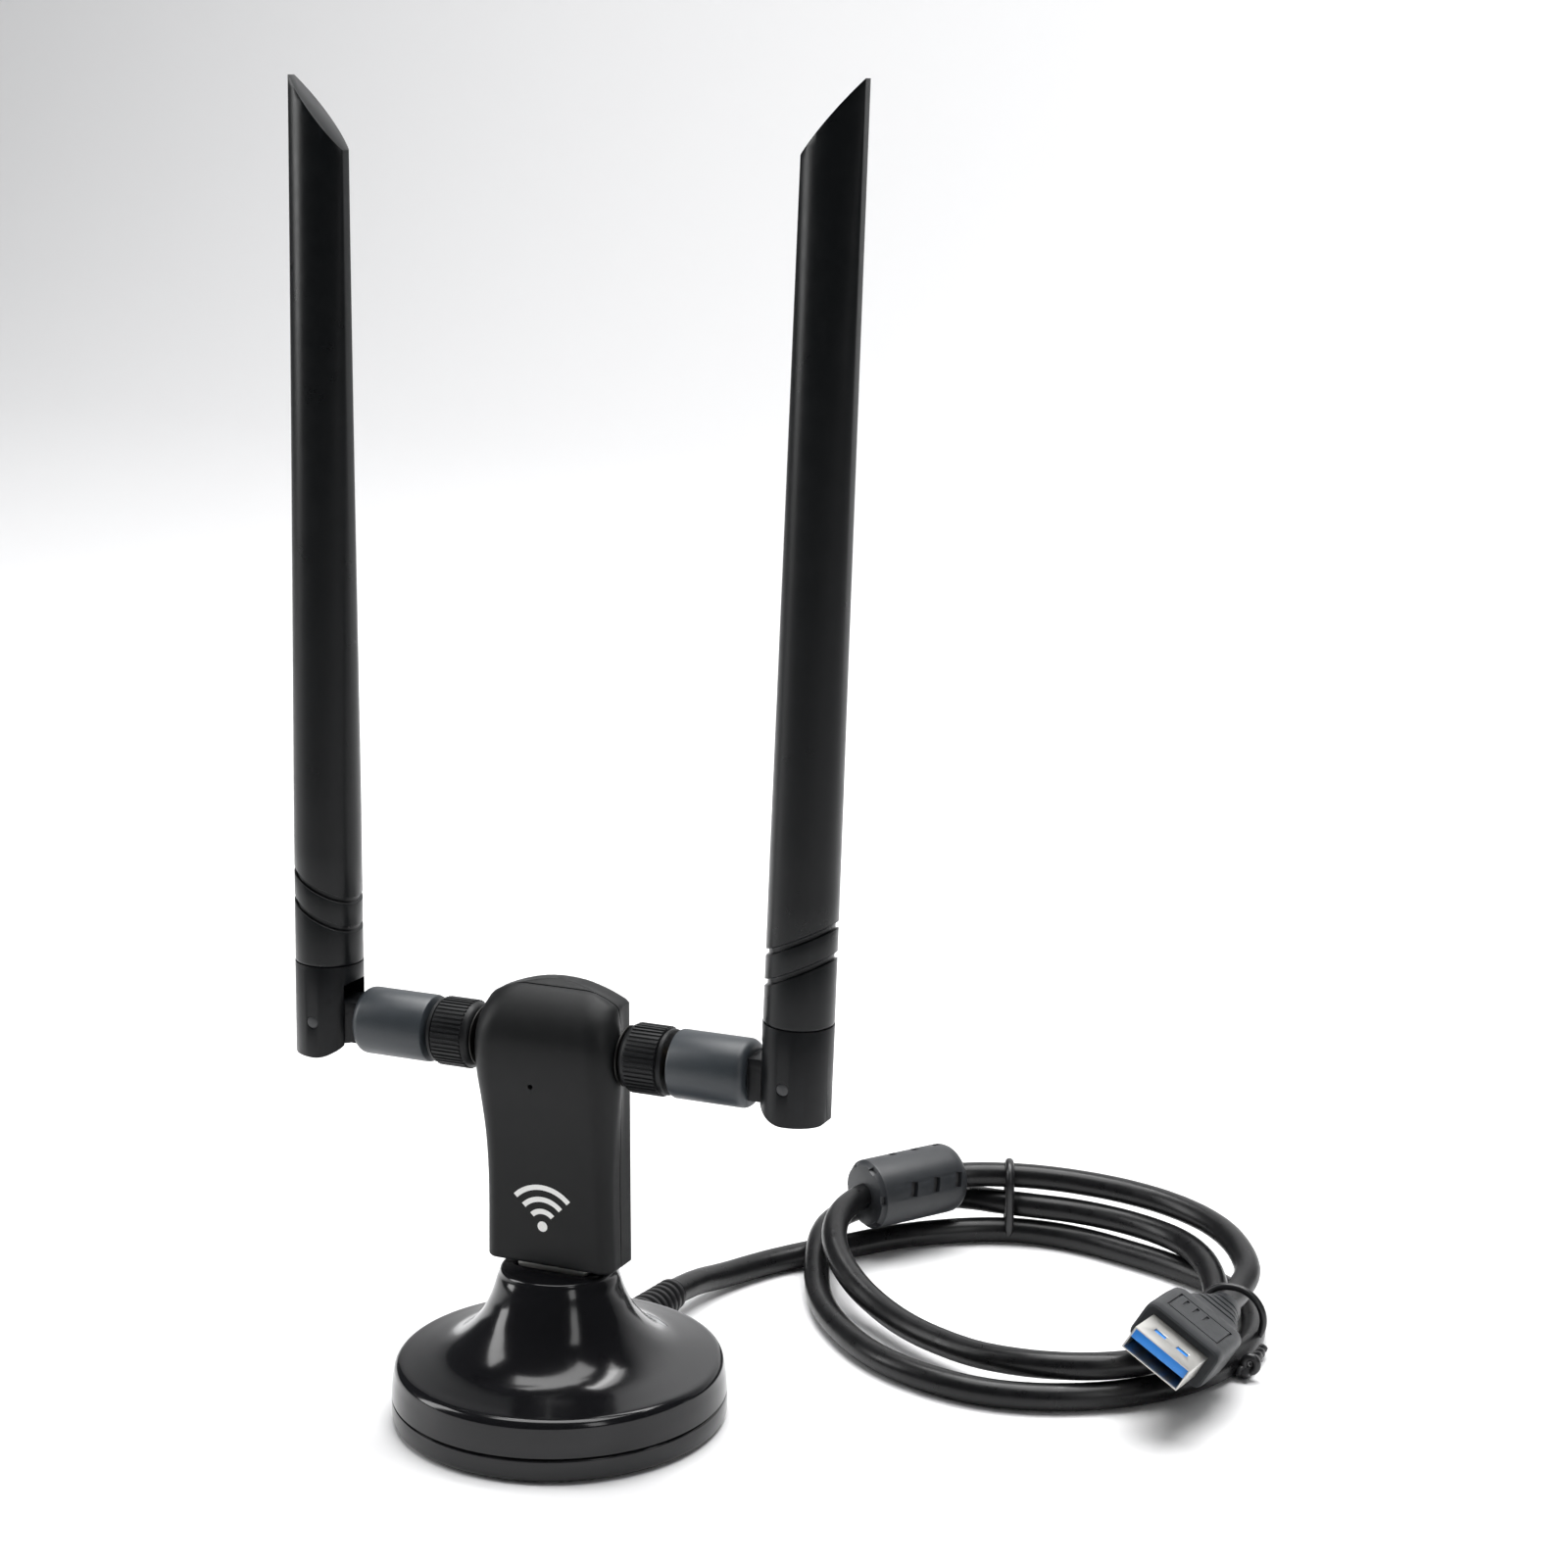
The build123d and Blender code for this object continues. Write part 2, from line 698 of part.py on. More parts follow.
def radome_form(inset, bottom, top):
    """Round at the foot, flattening to a blade at the tip."""
    blade_level = hinge_above + radome_length
    round_crown = radome_radius - math.sqrt(radome_radius ** 2 - blade_edge ** 2)
    waist = radome_radius - 0.12
    foot = radome_section(bottom, radome_radius, radome_radius, blade_edge, inset, round_crown)
    middle_level = hinge_above + radome_round_length
    middle = radome_section(middle_level, waist, waist, blade_edge, inset, round_crown)
    share = (top - middle_level) / (blade_level - middle_level)
    half_width = waist + (blade_half_width - waist) * share
    half_depth = waist + (blade_half_depth - waist) * share
    crown = round_crown + (0.05 - round_crown) * share
    tip = radome_section(top, half_width, half_depth, blade_edge, inset, crown)
    lower = loft(Sketch() + [foot, middle], ruled=True)
    upper = loft(Sketch() + [middle, tip], ruled=True)
    return lower + upper


def radome():
    body = radome_form(0.0, hinge_above, hinge_above + radome_length)
    slope = math.degrees(math.atan2(tip_drop, 2 * blade_half_width))
    cutter = Box(60, 40, 60, align=(Align.CENTER, Align.CENTER, Align.MIN))
    middle = hinge_above + radome_length - tip_drop / 2
    body -= Pos(0, 0, middle) * Rot(0, -slope, 0) * cutter
    tilt = math.degrees(math.atan2(groove_drop, 2 * radome_radius))
    for height in groove_heights:
        slab = Cylinder(3 * radome_radius, groove_width)
        slab = Pos(0, 0, hinge_above + height) * Rot(0, -tilt, 0) * slab
        body -= slab - disc(radome_radius - groove_depth, 0, 60)
    body -= radome_form(radome_wall, hinge_above, hinge_above + radome_length - tip_drop - 6)
    return body


def dipole():
    """The flat element on its thin board."""
    return block(5.0, 0.8, hinge_above + spigot_length + 1.5, 118)


def antenna_coax():
    start = knuckle_height / 2 + 4.0
    return disc(coax_radius, start, hinge_above + spigot_length + 1.5 - start)


# ---- Cable pieces -------------------------------------------------------------
def cord_lead():
    """The uncoiled stretch: straight runs joined by arcs as large as the runs allow."""
    points = [Vector(*p) for p in lead_route]
    radii = []
    for before, corner, after in zip(points, points[1:], points[2:]):
        turn = (corner - before).get_angle(after - corner)
        shorter = min((corner - before).length, (after - corner).length)
        radii.append(0.45 * shorter / math.tan(math.radians(turn / 2)))
    print("lead radii", [round(r, 1) for r in radii])
    path = FilletPolyline(*points, radius=radii)
    start = Plane(origin=points[0], z_dir=points[1] - points[0])
    tube = sweep(start * Circle(cable_radius), path=path)
    print("lead volume", round(tube.volume, 1), "section times length",
          round(math.pi * cable_radius ** 2 * path.length, 1))
    return tube


def coil_form():
    width = coil_outer_radius - coil_inner_radius
    middle = (coil_outer_radius + coil_inner_radius) / 2
    section = Pos(middle, 0, coil_bottom + coil_height / 2) * Rot(90, 0, 0) * RectangleRounded(
        width, coil_height, 2.4)
    return Pos(*coil_centre, 0) * revolve(section, Axis.Z)


def cord_coil():
    solid = coil_form() - ferrite_place(Cylinder(ferrite_radius, ferrite_length))
    solid -= coil_tie_back()
    solid -= front_tie_form()
    solid -= plug_place(plug_solid())
    return solid


def ferrite_place(piece):
    return Pos(*ferrite_middle) * Rot(0, 0, ferrite_turn) * Rot(0, 90, 0) * piece


def ferrite_cover():
    case = Cylinder(ferrite_radius, ferrite_length)
    case = fillet(case.edges().filter_by(GeomType.CIRCLE), 1.2)
    core = Cylinder(ferrite_radius - ferrite_wall, ferrite_length - 2 * ferrite_wall)
    return ferrite_place(case - core - Cylinder(cable_radius, 2 * ferrite_length))


def ferrite_core():
    core = Cylinder(ferrite_radius - ferrite_wall, ferrite_length - 2 * ferrite_wall)
    return ferrite_place(core - Cylinder(cable_radius, 2 * ferrite_length))


def tie_place(at, along):
    """Plane across the turns at a tie: X across them, Y up, Z along them."""
    turn = math.radians(along)
    return Plane(origin=(*at, 0), x_dir=(-math.sin(turn), math.cos(turn), 0),
                 z_dir=(math.cos(turn), math.sin(turn), 0))


def tie_band(place, inner_width, inner_height):
    """A closed band that stands round a stack of turns."""
    outer = RectangleRounded(inner_width + 2 * tie_thickness, inner_height + 2 * tie_thickness, 4.0)
    inner = RectangleRounded(inner_width, inner_height, 3.2)
    band = extrude(outer - inner, amount=tie_width / 2, both=True)
    rise = inner_height / 2 + tie_thickness + 0.05
    return place.location * Pos(0, rise, 0) * band


def coil_tie_back():
    return tie_band(tie_place(back_tie_at, back_tie_turn), *back_tie_inside)


def front_tie_form():
    return tie_band(tie_place(front_tie_at, 90), *front_tie_inside)


def coil_tie_front():
    """Wire tie round the turns and the plug's tail, with its twisted end."""
    outer = front_tie_at[0] + (front_tie_inside[0] + tie_thickness) / 2
    end = rod_y(tie_width / 2, front_tie_at[1] - tie_end_length, front_tie_at[1], outer, 1.6)
    return front_tie_form() + end


def plug_frame():
    """Plane whose Z points out of the plug's mouth and whose X runs across the plug."""
    pitch = math.radians(plug_pitch)
    roll = math.radians(plug_roll)
    outward = (0, -math.cos(pitch), math.sin(pitch))
    across = (math.cos(roll), -math.sin(pitch) * math.sin(roll), -math.cos(pitch) * math.sin(roll))
    return Plane(origin=plug_mouth, x_dir=across, z_dir=outward)


def plug_place(piece):
    return plug_frame().location * piece


def plug_solid():
    """Outer form of the plug's moulded body, behind its shell."""
    grip_top = -plug_shell_length
    grip = Pos(0, 0, grip_top - plug_body_length) * extrude(
        RectangleRounded(plug_body_width, plug_body_depth, 1.6), amount=plug_body_length)
    waist = Pos(0, 0, grip_top - plug_body_length) * RectangleRounded(
        plug_body_width - 4.5, plug_body_depth - 0.6, 1.5)
    end_level = grip_top - plug_body_length - plug_tail_length
    tail = Pos(0, 0, end_level) * RectangleRounded(7.2, 6.6, 3.2)
    return grip + loft(Sketch() + [waist, tail], ruled=True)


def plug_body():
    body = plug_solid()
    body -= block(usb_width, usb_height, -plug_shell_length - 6.0, 20)
    return plug_place(body)


def plug_shell():
    tube = Rot(180, 0, 0) * usb_shell(0.0, plug_shell_length + 6.0)
    return plug_place(tube)


def plug_tongue():
    bar = Rot(180, 0, 0) * usb_tongue_bar(0.4, plug_shell_length + 5.6)
    return plug_place(bar)


def plug_contacts():
    face = usb_tongue - (usb_height - 2 * usb_metal) / 2
    strips = contact_row(1.2, plug_shell_length - 2.0, face + contact_thickness / 2)
    return group([plug_place(Rot(180, 0, 0) * strip) for strip in strips])


# ---- Writing the nodes --------------------------------------------------------
def save(name, piece):
    export_step(piece, f"parts/{name}.step")


os.makedirs("parts", exist_ok=True)

for make in (cradle_cover, cradle_base, cradle_foot, cradle_weight, cradle_screws, cradle_board,
             socket_shell, socket_tongue, socket_contacts, indicator_window, indicator_led,
             cable_boot, cable_tail, cord_coil, ferrite_cover, ferrite_core,
             coil_tie_back, coil_tie_front, plug_body, plug_shell, plug_tongue, plug_contacts,
             adapter_front_shell, adapter_rear_shell, adapter_plug_shell, adapter_plug_tongue,
             adapter_plug_contacts, adapter_board, adapter_shield, adapter_chips, status_led):
    save(make.__name__, make())

save("cord_lead", cord_lead() - coil_form() - cable_tail())

for side, turn in (("right", 0), ("left", 180)):
    for make in (jack, jack_insulator, jack_pin, nut, nut_insert, ferrule, ferrule_contact,
                 arm_sleeve, arm_knuckle):
        save(f"{side}_{make.__name__}", Rot(0, 0, turn) * make())

for side, turn, outward in (("right", 0, right_lean), ("left", 180, left_lean)):
    for make in (hinge_base, hinge_pin, radome, dipole, antenna_coax):
        save(f"{side}_{make.__name__}", Rot(0, 0, turn) * lean(make(), outward))
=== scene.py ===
import json
import math
import bmesh
import bpy
from mathutils import Matrix, Vector
from mathutils.bvhtree import BVHTree


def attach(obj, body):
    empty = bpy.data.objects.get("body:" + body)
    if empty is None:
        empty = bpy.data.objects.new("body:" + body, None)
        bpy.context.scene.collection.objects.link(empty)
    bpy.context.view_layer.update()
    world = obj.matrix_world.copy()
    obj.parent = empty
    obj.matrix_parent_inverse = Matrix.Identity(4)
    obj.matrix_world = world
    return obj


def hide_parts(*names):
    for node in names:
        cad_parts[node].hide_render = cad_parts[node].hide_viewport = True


# Looks of a two-antenna USB wifi adapter in its desk cradle. Sizes are written in
# millimetres and brought to metres by MM; every piece is built in place around the frame.
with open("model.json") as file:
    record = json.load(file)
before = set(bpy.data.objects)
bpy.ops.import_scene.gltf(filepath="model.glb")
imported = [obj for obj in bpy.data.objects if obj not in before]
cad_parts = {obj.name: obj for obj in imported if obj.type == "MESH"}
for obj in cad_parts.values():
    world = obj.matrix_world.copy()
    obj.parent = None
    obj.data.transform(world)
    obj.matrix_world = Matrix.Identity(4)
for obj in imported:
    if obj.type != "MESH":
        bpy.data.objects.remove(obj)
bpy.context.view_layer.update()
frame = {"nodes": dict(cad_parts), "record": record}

MM = 0.001
TAU = 2 * math.pi
scene = bpy.context.scene
scene.view_settings.view_transform = "Standard"


# ==== Camera ====================================================================
def make_camera():
    lens = bpy.data.cameras.new("camera")
    lens.sensor_width = 36.0
    lens.lens = 70.35
    lens.clip_end = 20.0
    camera = bpy.data.objects.new("camera", lens)
    place = Vector((238.9, -446.9, 229.3)) * MM
    target = Vector((34.64, 18.60, 113.70)) * MM
    aim = (place - target).to_track_quat("Z", "Y").to_matrix().to_4x4()
    roll = Matrix.Rotation(math.radians(0.234), 4, "Z")
    camera.matrix_world = Matrix.Translation(place) @ aim @ roll
    scene.collection.objects.link(camera)
    scene.camera = camera


make_camera()


# ==== Shapes: small helpers =====================================================
def flow(knots, at):
    """Smooth values at a position, from knots of (position, value, value, ...)."""
    last = len(knots) - 1
    index = 0
    while index < last - 1 and knots[index + 1][0] <= at:
        index += 1
    a, b = knots[index], knots[index + 1]
    span = b[0] - a[0]
    share = min(max((at - a[0]) / span, 0.0), 1.0)

    def slope(i, column):
        low, high = knots[max(i - 1, 0)], knots[min(i + 1, last)]
        return (high[column] - low[column]) / (high[0] - low[0]) * span

    s2, s3 = share ** 2, share ** 3
    values = []
    for column in range(1, len(a)):
        values.append((2 * s3 - 3 * s2 + 1) * a[column] + (s3 - 2 * s2 + share) * slope(index, column)
                      + (3 * s2 - 2 * s3) * b[column] + (s3 - s2) * slope(index + 1, column))
    return values


def shape(name, mesh, place=None, sharp=35.0):
    """Makes a piece from a bmesh in millimetres, smooth except at edges sharper than the limit."""
    bmesh.ops.remove_doubles(mesh, verts=mesh.verts, dist=1e-5)
    bmesh.ops.recalc_face_normals(mesh, faces=mesh.faces)
    if place is not None:
        bmesh.ops.transform(mesh, matrix=place, verts=mesh.verts)
    bmesh.ops.scale(mesh, vec=(MM, MM, MM), verts=mesh.verts)
    crease(mesh, sharp)
    data = bpy.data.meshes.new(name)
    mesh.to_mesh(data)
    mesh.free()
    piece = bpy.data.objects.new(name, data)
    scene.collection.objects.link(piece)
    return piece


def crease(mesh, sharp):
    """Shades a mesh smooth, with sharp edges where its faces meet at more than the limit."""
    limit = math.radians(sharp)
    for face in mesh.faces:
        face.smooth = True
    for edge in mesh.edges:
        edge.smooth = len(edge.link_faces) != 2 or edge.calc_face_angle(0.0) < limit


def settle(piece, sharp=35.0):
    """Applies a piece's modifiers to its mesh."""
    bpy.context.view_layer.update()
    done = piece.evaluated_get(bpy.context.evaluated_depsgraph_get())
    data = bpy.data.meshes.new_from_object(done)
    piece.modifiers.clear()
    mesh = bmesh.new()
    mesh.from_mesh(data)
    bmesh.ops.remove_doubles(mesh, verts=mesh.verts, dist=1e-8)
    crease(mesh, sharp)
    mesh.to_mesh(data)
    mesh.free()
    piece.data = data
    data.name = piece.name


def carve(piece, cutters, operation="DIFFERENCE", sharp=35.0):
    """Cuts a piece by other shapes, which are used up."""
    for cutter in cutters:
        cut = piece.modifiers.new("cut", "BOOLEAN")
        cut.operation = operation
        cut.solver = "EXACT"
        cut.object = cutter
        settle(piece, sharp)
        bpy.data.objects.remove(cutter)


def soften(piece, width, segments=2, angle=35.0):
    """Small rounding along a piece's edges."""
    bevel = piece.modifiers.new("rounding", "BEVEL")
    bevel.width = width * MM
    bevel.segments = segments
    bevel.limit_method = "ANGLE"
    bevel.angle_limit = math.radians(angle)
    bevel.harden_normals = False
    settle(piece, 40.0)


def skin(rings, segments):
    """A closed skin over rings, each a function from an angle to a point."""
    mesh = bmesh.new()
    bmesh.ops.create_grid(mesh, x_segments=segments, y_segments=len(rings) - 1, size=1.0)
    for vert in mesh.verts:
        ring = rings[round((vert.co.y + 1) / 2 * (len(rings) - 1))]
        vert.co = ring(math.pi * (vert.co.x + 1))
    bmesh.ops.remove_doubles(mesh, verts=mesh.verts, dist=1e-5)
    rims = [edge for edge in mesh.edges if edge.is_boundary]
    bmesh.ops.edgeloop_fill(mesh, edges=rims)
    bmesh.ops.recalc_face_normals(mesh, faces=mesh.faces)
    return mesh


def lathe(outline, segments=96, flute=None):
    """A turned shape about Z from (radius, height) points; flute changes the radius by angle."""
    def ring(radius, height):
        def point(turn):
            reach = radius - (flute(turn) if flute and radius in fluted else 0.0)
            return Vector((reach * math.cos(turn), reach * math.sin(turn), height))
        return point
    fluted = {max(radius for radius, height in outline)}
    return skin([ring(radius, height) for radius, height in outline], segments)


def tube(outline, segments=96):
    """A turned ring about Z whose closed outline never meets the axis."""
    mesh = bmesh.new()
    verts = [mesh.verts.new((radius, 0.0, height)) for radius, height in outline]
    edges = [mesh.edges.new(pair) for pair in zip(verts, verts[1:] + verts[:1])]
    bmesh.ops.spin(mesh, geom=verts + edges, axis=(0, 0, 1), cent=(0, 0, 0), steps=segments,
                   angle=TAU, use_merge=True)
    return mesh


def box_mesh(size, middle=(0, 0, 0)):
    mesh = bmesh.new()
    bmesh.ops.create_cube(mesh, size=1.0)
    bmesh.ops.scale(mesh, vec=size, verts=mesh.verts)
    bmesh.ops.translate(mesh, vec=middle, verts=mesh.verts)
    return mesh


def rod_mesh(radius, length, segments=32):
    mesh = bmesh.new()
    bmesh.ops.create_cone(mesh, cap_ends=True, segments=segments, radius1=radius, radius2=radius,
                          depth=length)
    return mesh


def rounded(width, depth, corner):
    """A rounded rectangle as a function from an angle to (x, y)."""
    half_x, half_y = width / 2, depth / 2
    corner = min(corner, half_x, half_y)

    def point(turn):
        c, s = math.cos(turn), math.sin(turn)
        reach = min(half_x / max(abs(c), 1e-9), half_y / max(abs(s), 1e-9))
        x, y = reach * c, reach * s
        over_x, over_y = abs(x) - (half_x - corner), abs(y) - (half_y - corner)
        if over_x > 0 and over_y > 0:
            cx, cy = (half_x - corner), (half_y - corner)
            along = abs(c) * cx + abs(s) * cy
            reach = along + math.sqrt(max(along ** 2 - cx ** 2 - cy ** 2 + corner ** 2, 0.0))
            x, y = reach * c, reach * s
        return x, y
    return point


def level_ring(outline, height, shift=(0.0, 0.0)):
    def point(turn):
        x, y = outline(turn)
        return Vector((x + shift[0], y + shift[1], height))
    return point


def merged_copy(name, node, rounding=0.0, sharp=35.0):
    """A smooth-shaded copy of a CAD node, its loose triangles joined."""
    source = frame["nodes"][node]
    mesh = bmesh.new()
    mesh.from_mesh(source.data)
    bmesh.ops.transform(mesh, matrix=source.matrix_world, verts=mesh.verts)
    bmesh.ops.remove_doubles(mesh, verts=mesh.verts, dist=2e-6)
    bmesh.ops.dissolve_limit(mesh, angle_limit=math.radians(0.5), verts=mesh.verts, edges=mesh.edges)
    crease(mesh, sharp)
    data = bpy.data.meshes.new(name)
    mesh.to_mesh(data)
    mesh.free()
    piece = bpy.data.objects.new(name, data)
    scene.collection.objects.link(piece)
    if rounding:
        soften(piece, rounding)
    return piece


def wear(piece, body, slot, finish, *nodes):
    """Gives a piece its finish, its body and the CAD nodes that it stands for."""
    piece.data.materials.clear()
    piece.data.materials.append(finish)
    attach(piece, body)
    if nodes:
        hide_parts(*nodes)
    return piece


# ==== Finishes: small helpers ===================================================
class Mask:
    """A shader socket that ordinary arithmetic can be written with."""

    def __init__(self, finish, socket):
        self.finish = finish
        self.socket = socket

    def _with(self, operation, first, second):
        return self.finish.node("ShaderNodeMath", {"operation": operation}, {0: first, 1: second})

    def __add__(self, other):
        return self._with("ADD", self, other)

    __radd__ = __add__

    def __sub__(self, other):
        return self._with("SUBTRACT", self, other)

    def __rsub__(self, other):
        return self._with("SUBTRACT", other, self)

    def __mul__(self, other):
        return self._with("MULTIPLY", self, other)

    __rmul__ = __mul__

    def clipped(self, low, high):
        """Runs from 0 to 1 as the value runs from low to high."""
        return self.finish.node("ShaderNodeMapRange", {"clamp": True},
                                {"Value": self, "From Min": low, "From Max": high})


class Finish:
    """A node material under construction."""

    def __init__(self, name):
        self.material = bpy.data.materials.new(name)
        self.material.use_nodes = True
        self.tree = self.material.node_tree
        self.shader = self.tree.nodes["Principled BSDF"]

    def node(self, kind, settings=None, sockets=None, output=0):
        """Adds any node: its settings first, then the values or links of its sockets."""
        new = self.tree.nodes.new(kind)
        for key, value in (settings or {}).items():
            setattr(new, key, value)
        for key, value in (sockets or {}).items():
            if isinstance(value, Mask):
                self.tree.links.new(value.socket, new.inputs[key])
            else:
                new.inputs[key].default_value = value
        return Mask(self, new.outputs[output])

    def place(self):
        return self.node("ShaderNodeTexCoord", output="Object")

    def stretched(self, scale):
        return self.node("ShaderNodeMapping", {}, {"Vector": self.place(), "Scale": scale})

    def noise(self, size, detail=2.0, where=None, roughness=0.5):
        """Noise whose features are about the given size in millimetres."""
        return self.node("ShaderNodeTexNoise", {}, {
            "Vector": where or self.place(), "Scale": 1.0 / (size * MM), "Detail": detail,
            "Roughness": roughness})

    def edges(self):
        """Rises towards 1 on convex edges."""
        bend = self.node("ShaderNodeNewGeometry", output="Pointiness")
        return bend.clipped(0.515, 0.60)

    def blend(self, share, first, second):
        return self.node("ShaderNodeMix", {"data_type": "RGBA"}, {0: share, 6: first, 7: second}, 2)

    def feed(self, socket, value):
        if isinstance(value, Mask):
            self.tree.links.new(value.socket, self.shader.inputs[socket])
        else:
            self.shader.inputs[socket].default_value = value

    def bump(self, height, depth, strength=1.0, under=None):
        """Relief of the given depth in millimetres, over another relief if one is given."""
        sockets = {"Height": height, "Distance": depth * MM, "Strength": strength}
        if under is not None:
            sockets["Normal"] = under
        return self.node("ShaderNodeBump", {}, sockets)


def tint(colour, factor):
    return tuple(min(channel * factor, 1.0) for channel in colour[:3]) + (1.0,)


def moulded(name, colour, rough, grain=0.25, relief=0.01, edge=1.8, smudge=0.08, specular=0.5,
            coat=0.0):
    """Moulded plastic or rubber: fine grain, handling marks, and edges rubbed brighter."""
    finish = Finish(name)
    base = tuple(colour) + (1.0,)
    cloud = finish.noise(9.0, 4.0)
    fine = finish.noise(grain, 3.0, roughness=0.65)
    marks = finish.noise(3.2, 6.0, roughness=0.7)
    shade = finish.blend(cloud.clipped(0.35, 0.7) * 0.7, base, tint(base, 1.22))
    shade = finish.blend(fine.clipped(0.45, 0.75) * 0.35, shade, tint(base, 1.5))
    shade = finish.blend(finish.edges() * marks.clipped(0.3, 0.62) * 0.75, shade, tint(base, edge))
    finish.feed("Base Color", shade)
    finish.feed("Roughness", rough + marks.clipped(0.42, 0.72) * smudge + cloud * smudge * 0.5)
    finish.feed("Normal", finish.bump(fine, relief, 0.6))
    finish.feed("Specular IOR Level", specular)
    if coat:
        finish.feed("Coat Weight", coat)
        finish.feed("Coat Roughness", 0.05)
    return finish.material


def polished_black():
    """Glossy black moulding with faint wiping marks and dust."""
    finish = Finish("gloss_black")
    base = (0.006, 0.006, 0.007, 1.0)
    cloud = finish.noise(14.0, 3.0)
    wipes = finish.noise(1.0, 5.0, finish.stretched((1.0, 0.18, 1.0)), 0.7)
    dust = finish.noise(0.35, 2.0).clipped(0.74, 0.80)
    shade = finish.blend(dust * 0.12, base, (0.12, 0.12, 0.12, 1.0))
    finish.feed("Base Color", finish.blend(cloud.clipped(0.3, 0.8) * 0.5, shade, tint(base, 1.5)))
    finish.feed("Roughness", 0.13 + wipes.clipped(0.5, 0.8) * 0.05 + dust * 0.3 + cloud * 0.03)
    finish.feed("Normal", finish.bump(cloud, 0.02, 0.25))
    finish.feed("Specular IOR Level", 0.36)
    finish.feed("Coat Weight", 0.08)
    finish.feed("Coat Roughness", 0.08)
    return finish.material


def metal(name, colour, rough, direction=(1.0, 1.0, 12.0), size=0.35, relief=0.004):
    """Plated sheet or turned metal with fine lines along one direction."""
    finish = Finish(name)
    base = tuple(colour) + (1.0,)
    lines = finish.noise(size, 4.0, finish.stretched(direction), 0.7)
    stain = finish.noise(2.5, 4.0)
    shade = finish.blend(lines.clipped(0.3, 0.75) * 0.5, base, tint(base, 0.72))
    shade = finish.blend(stain.clipped(0.5, 0.8) * 0.4, shade, tint(base, 0.8))
    finish.feed("Base Color", finish.blend(finish.edges() * 0.6, shade, tint(base, 1.25)))
    finish.feed("Metallic", 1.0)
    finish.feed("Roughness", rough + lines * 0.14 + stain.clipped(0.45, 0.8) * 0.08)
    finish.feed("Normal", finish.bump(lines, relief, 0.7))
    return finish.material


def circuit():
    """Green solder mask over copper tracks."""
    finish = Finish("board_green")
    tracks = finish.node("ShaderNodeTexVoronoi", {"feature": "DISTANCE_TO_EDGE"},
                         {"Vector": finish.place(), "Scale": 1.0 / (2.2 * MM)})
    line = 1.0 - tracks.clipped(0.02, 0.06)
    grain = finish.noise(0.5, 3.0)
    shade = finish.blend(line, (0.012, 0.09, 0.035, 1.0), (0.03, 0.17, 0.06, 1.0))
    finish.feed("Base Color", finish.blend(grain.clipped(0.4, 0.8) * 0.3, shade, (0.02, 0.12, 0.05, 1.0)))
    finish.feed("Roughness", 0.3 + grain * 0.15)
    finish.feed("Normal", finish.bump(line, 0.03, 0.6))
    return finish.material


def cable_sheath():
    """Satin cable jacket: slight lay of the wires, faint flow lines and handling marks."""
    finish = Finish("cable_pvc")
    base = (0.0055, 0.0055, 0.006, 1.0)
    swell = finish.noise(6.0, 2.0)
    fine = finish.noise(0.3, 4.0, roughness=0.6)
    marks = finish.noise(2.4, 6.0, roughness=0.7)
    shade = finish.blend(marks.clipped(0.4, 0.7) * 0.6, base, tint(base, 1.7))
    finish.feed("Base Color", shade)
    finish.feed("Roughness", 0.24 + marks.clipped(0.35, 0.75) * 0.12 + swell * 0.05)
    relief = finish.bump(fine, 0.012, 0.5, finish.bump(swell, 0.25, 0.25))
    finish.feed("Normal", relief)
    finish.feed("Specular IOR Level", 0.3)
    return finish.material


def smoked_window():
    finish = Finish("window_smoke")
    flow_lines = finish.noise(0.8, 3.0)
    finish.feed("Base Color", finish.blend(flow_lines, (0.035, 0.04, 0.045, 1.0), (0.07, 0.08, 0.09, 1.0)))
    finish.feed("Roughness", 0.12 + flow_lines * 0.1)
    finish.feed("Normal", finish.bump(flow_lines, 0.01, 0.3))
    return finish.material


def white_ink():
    finish = Finish("white_ink")
    speckle = finish.noise(0.25, 4.0)
    finish.feed("Base Color", finish.blend(speckle.clipped(0.55, 0.8) * 0.4, (0.86, 0.86, 0.84, 1.0),
                                           (0.62, 0.62, 0.61, 1.0)))
    finish.feed("Roughness", 0.5 + speckle * 0.15)
    finish.feed("Normal", finish.bump(speckle, 0.004, 0.4))
    return finish.material


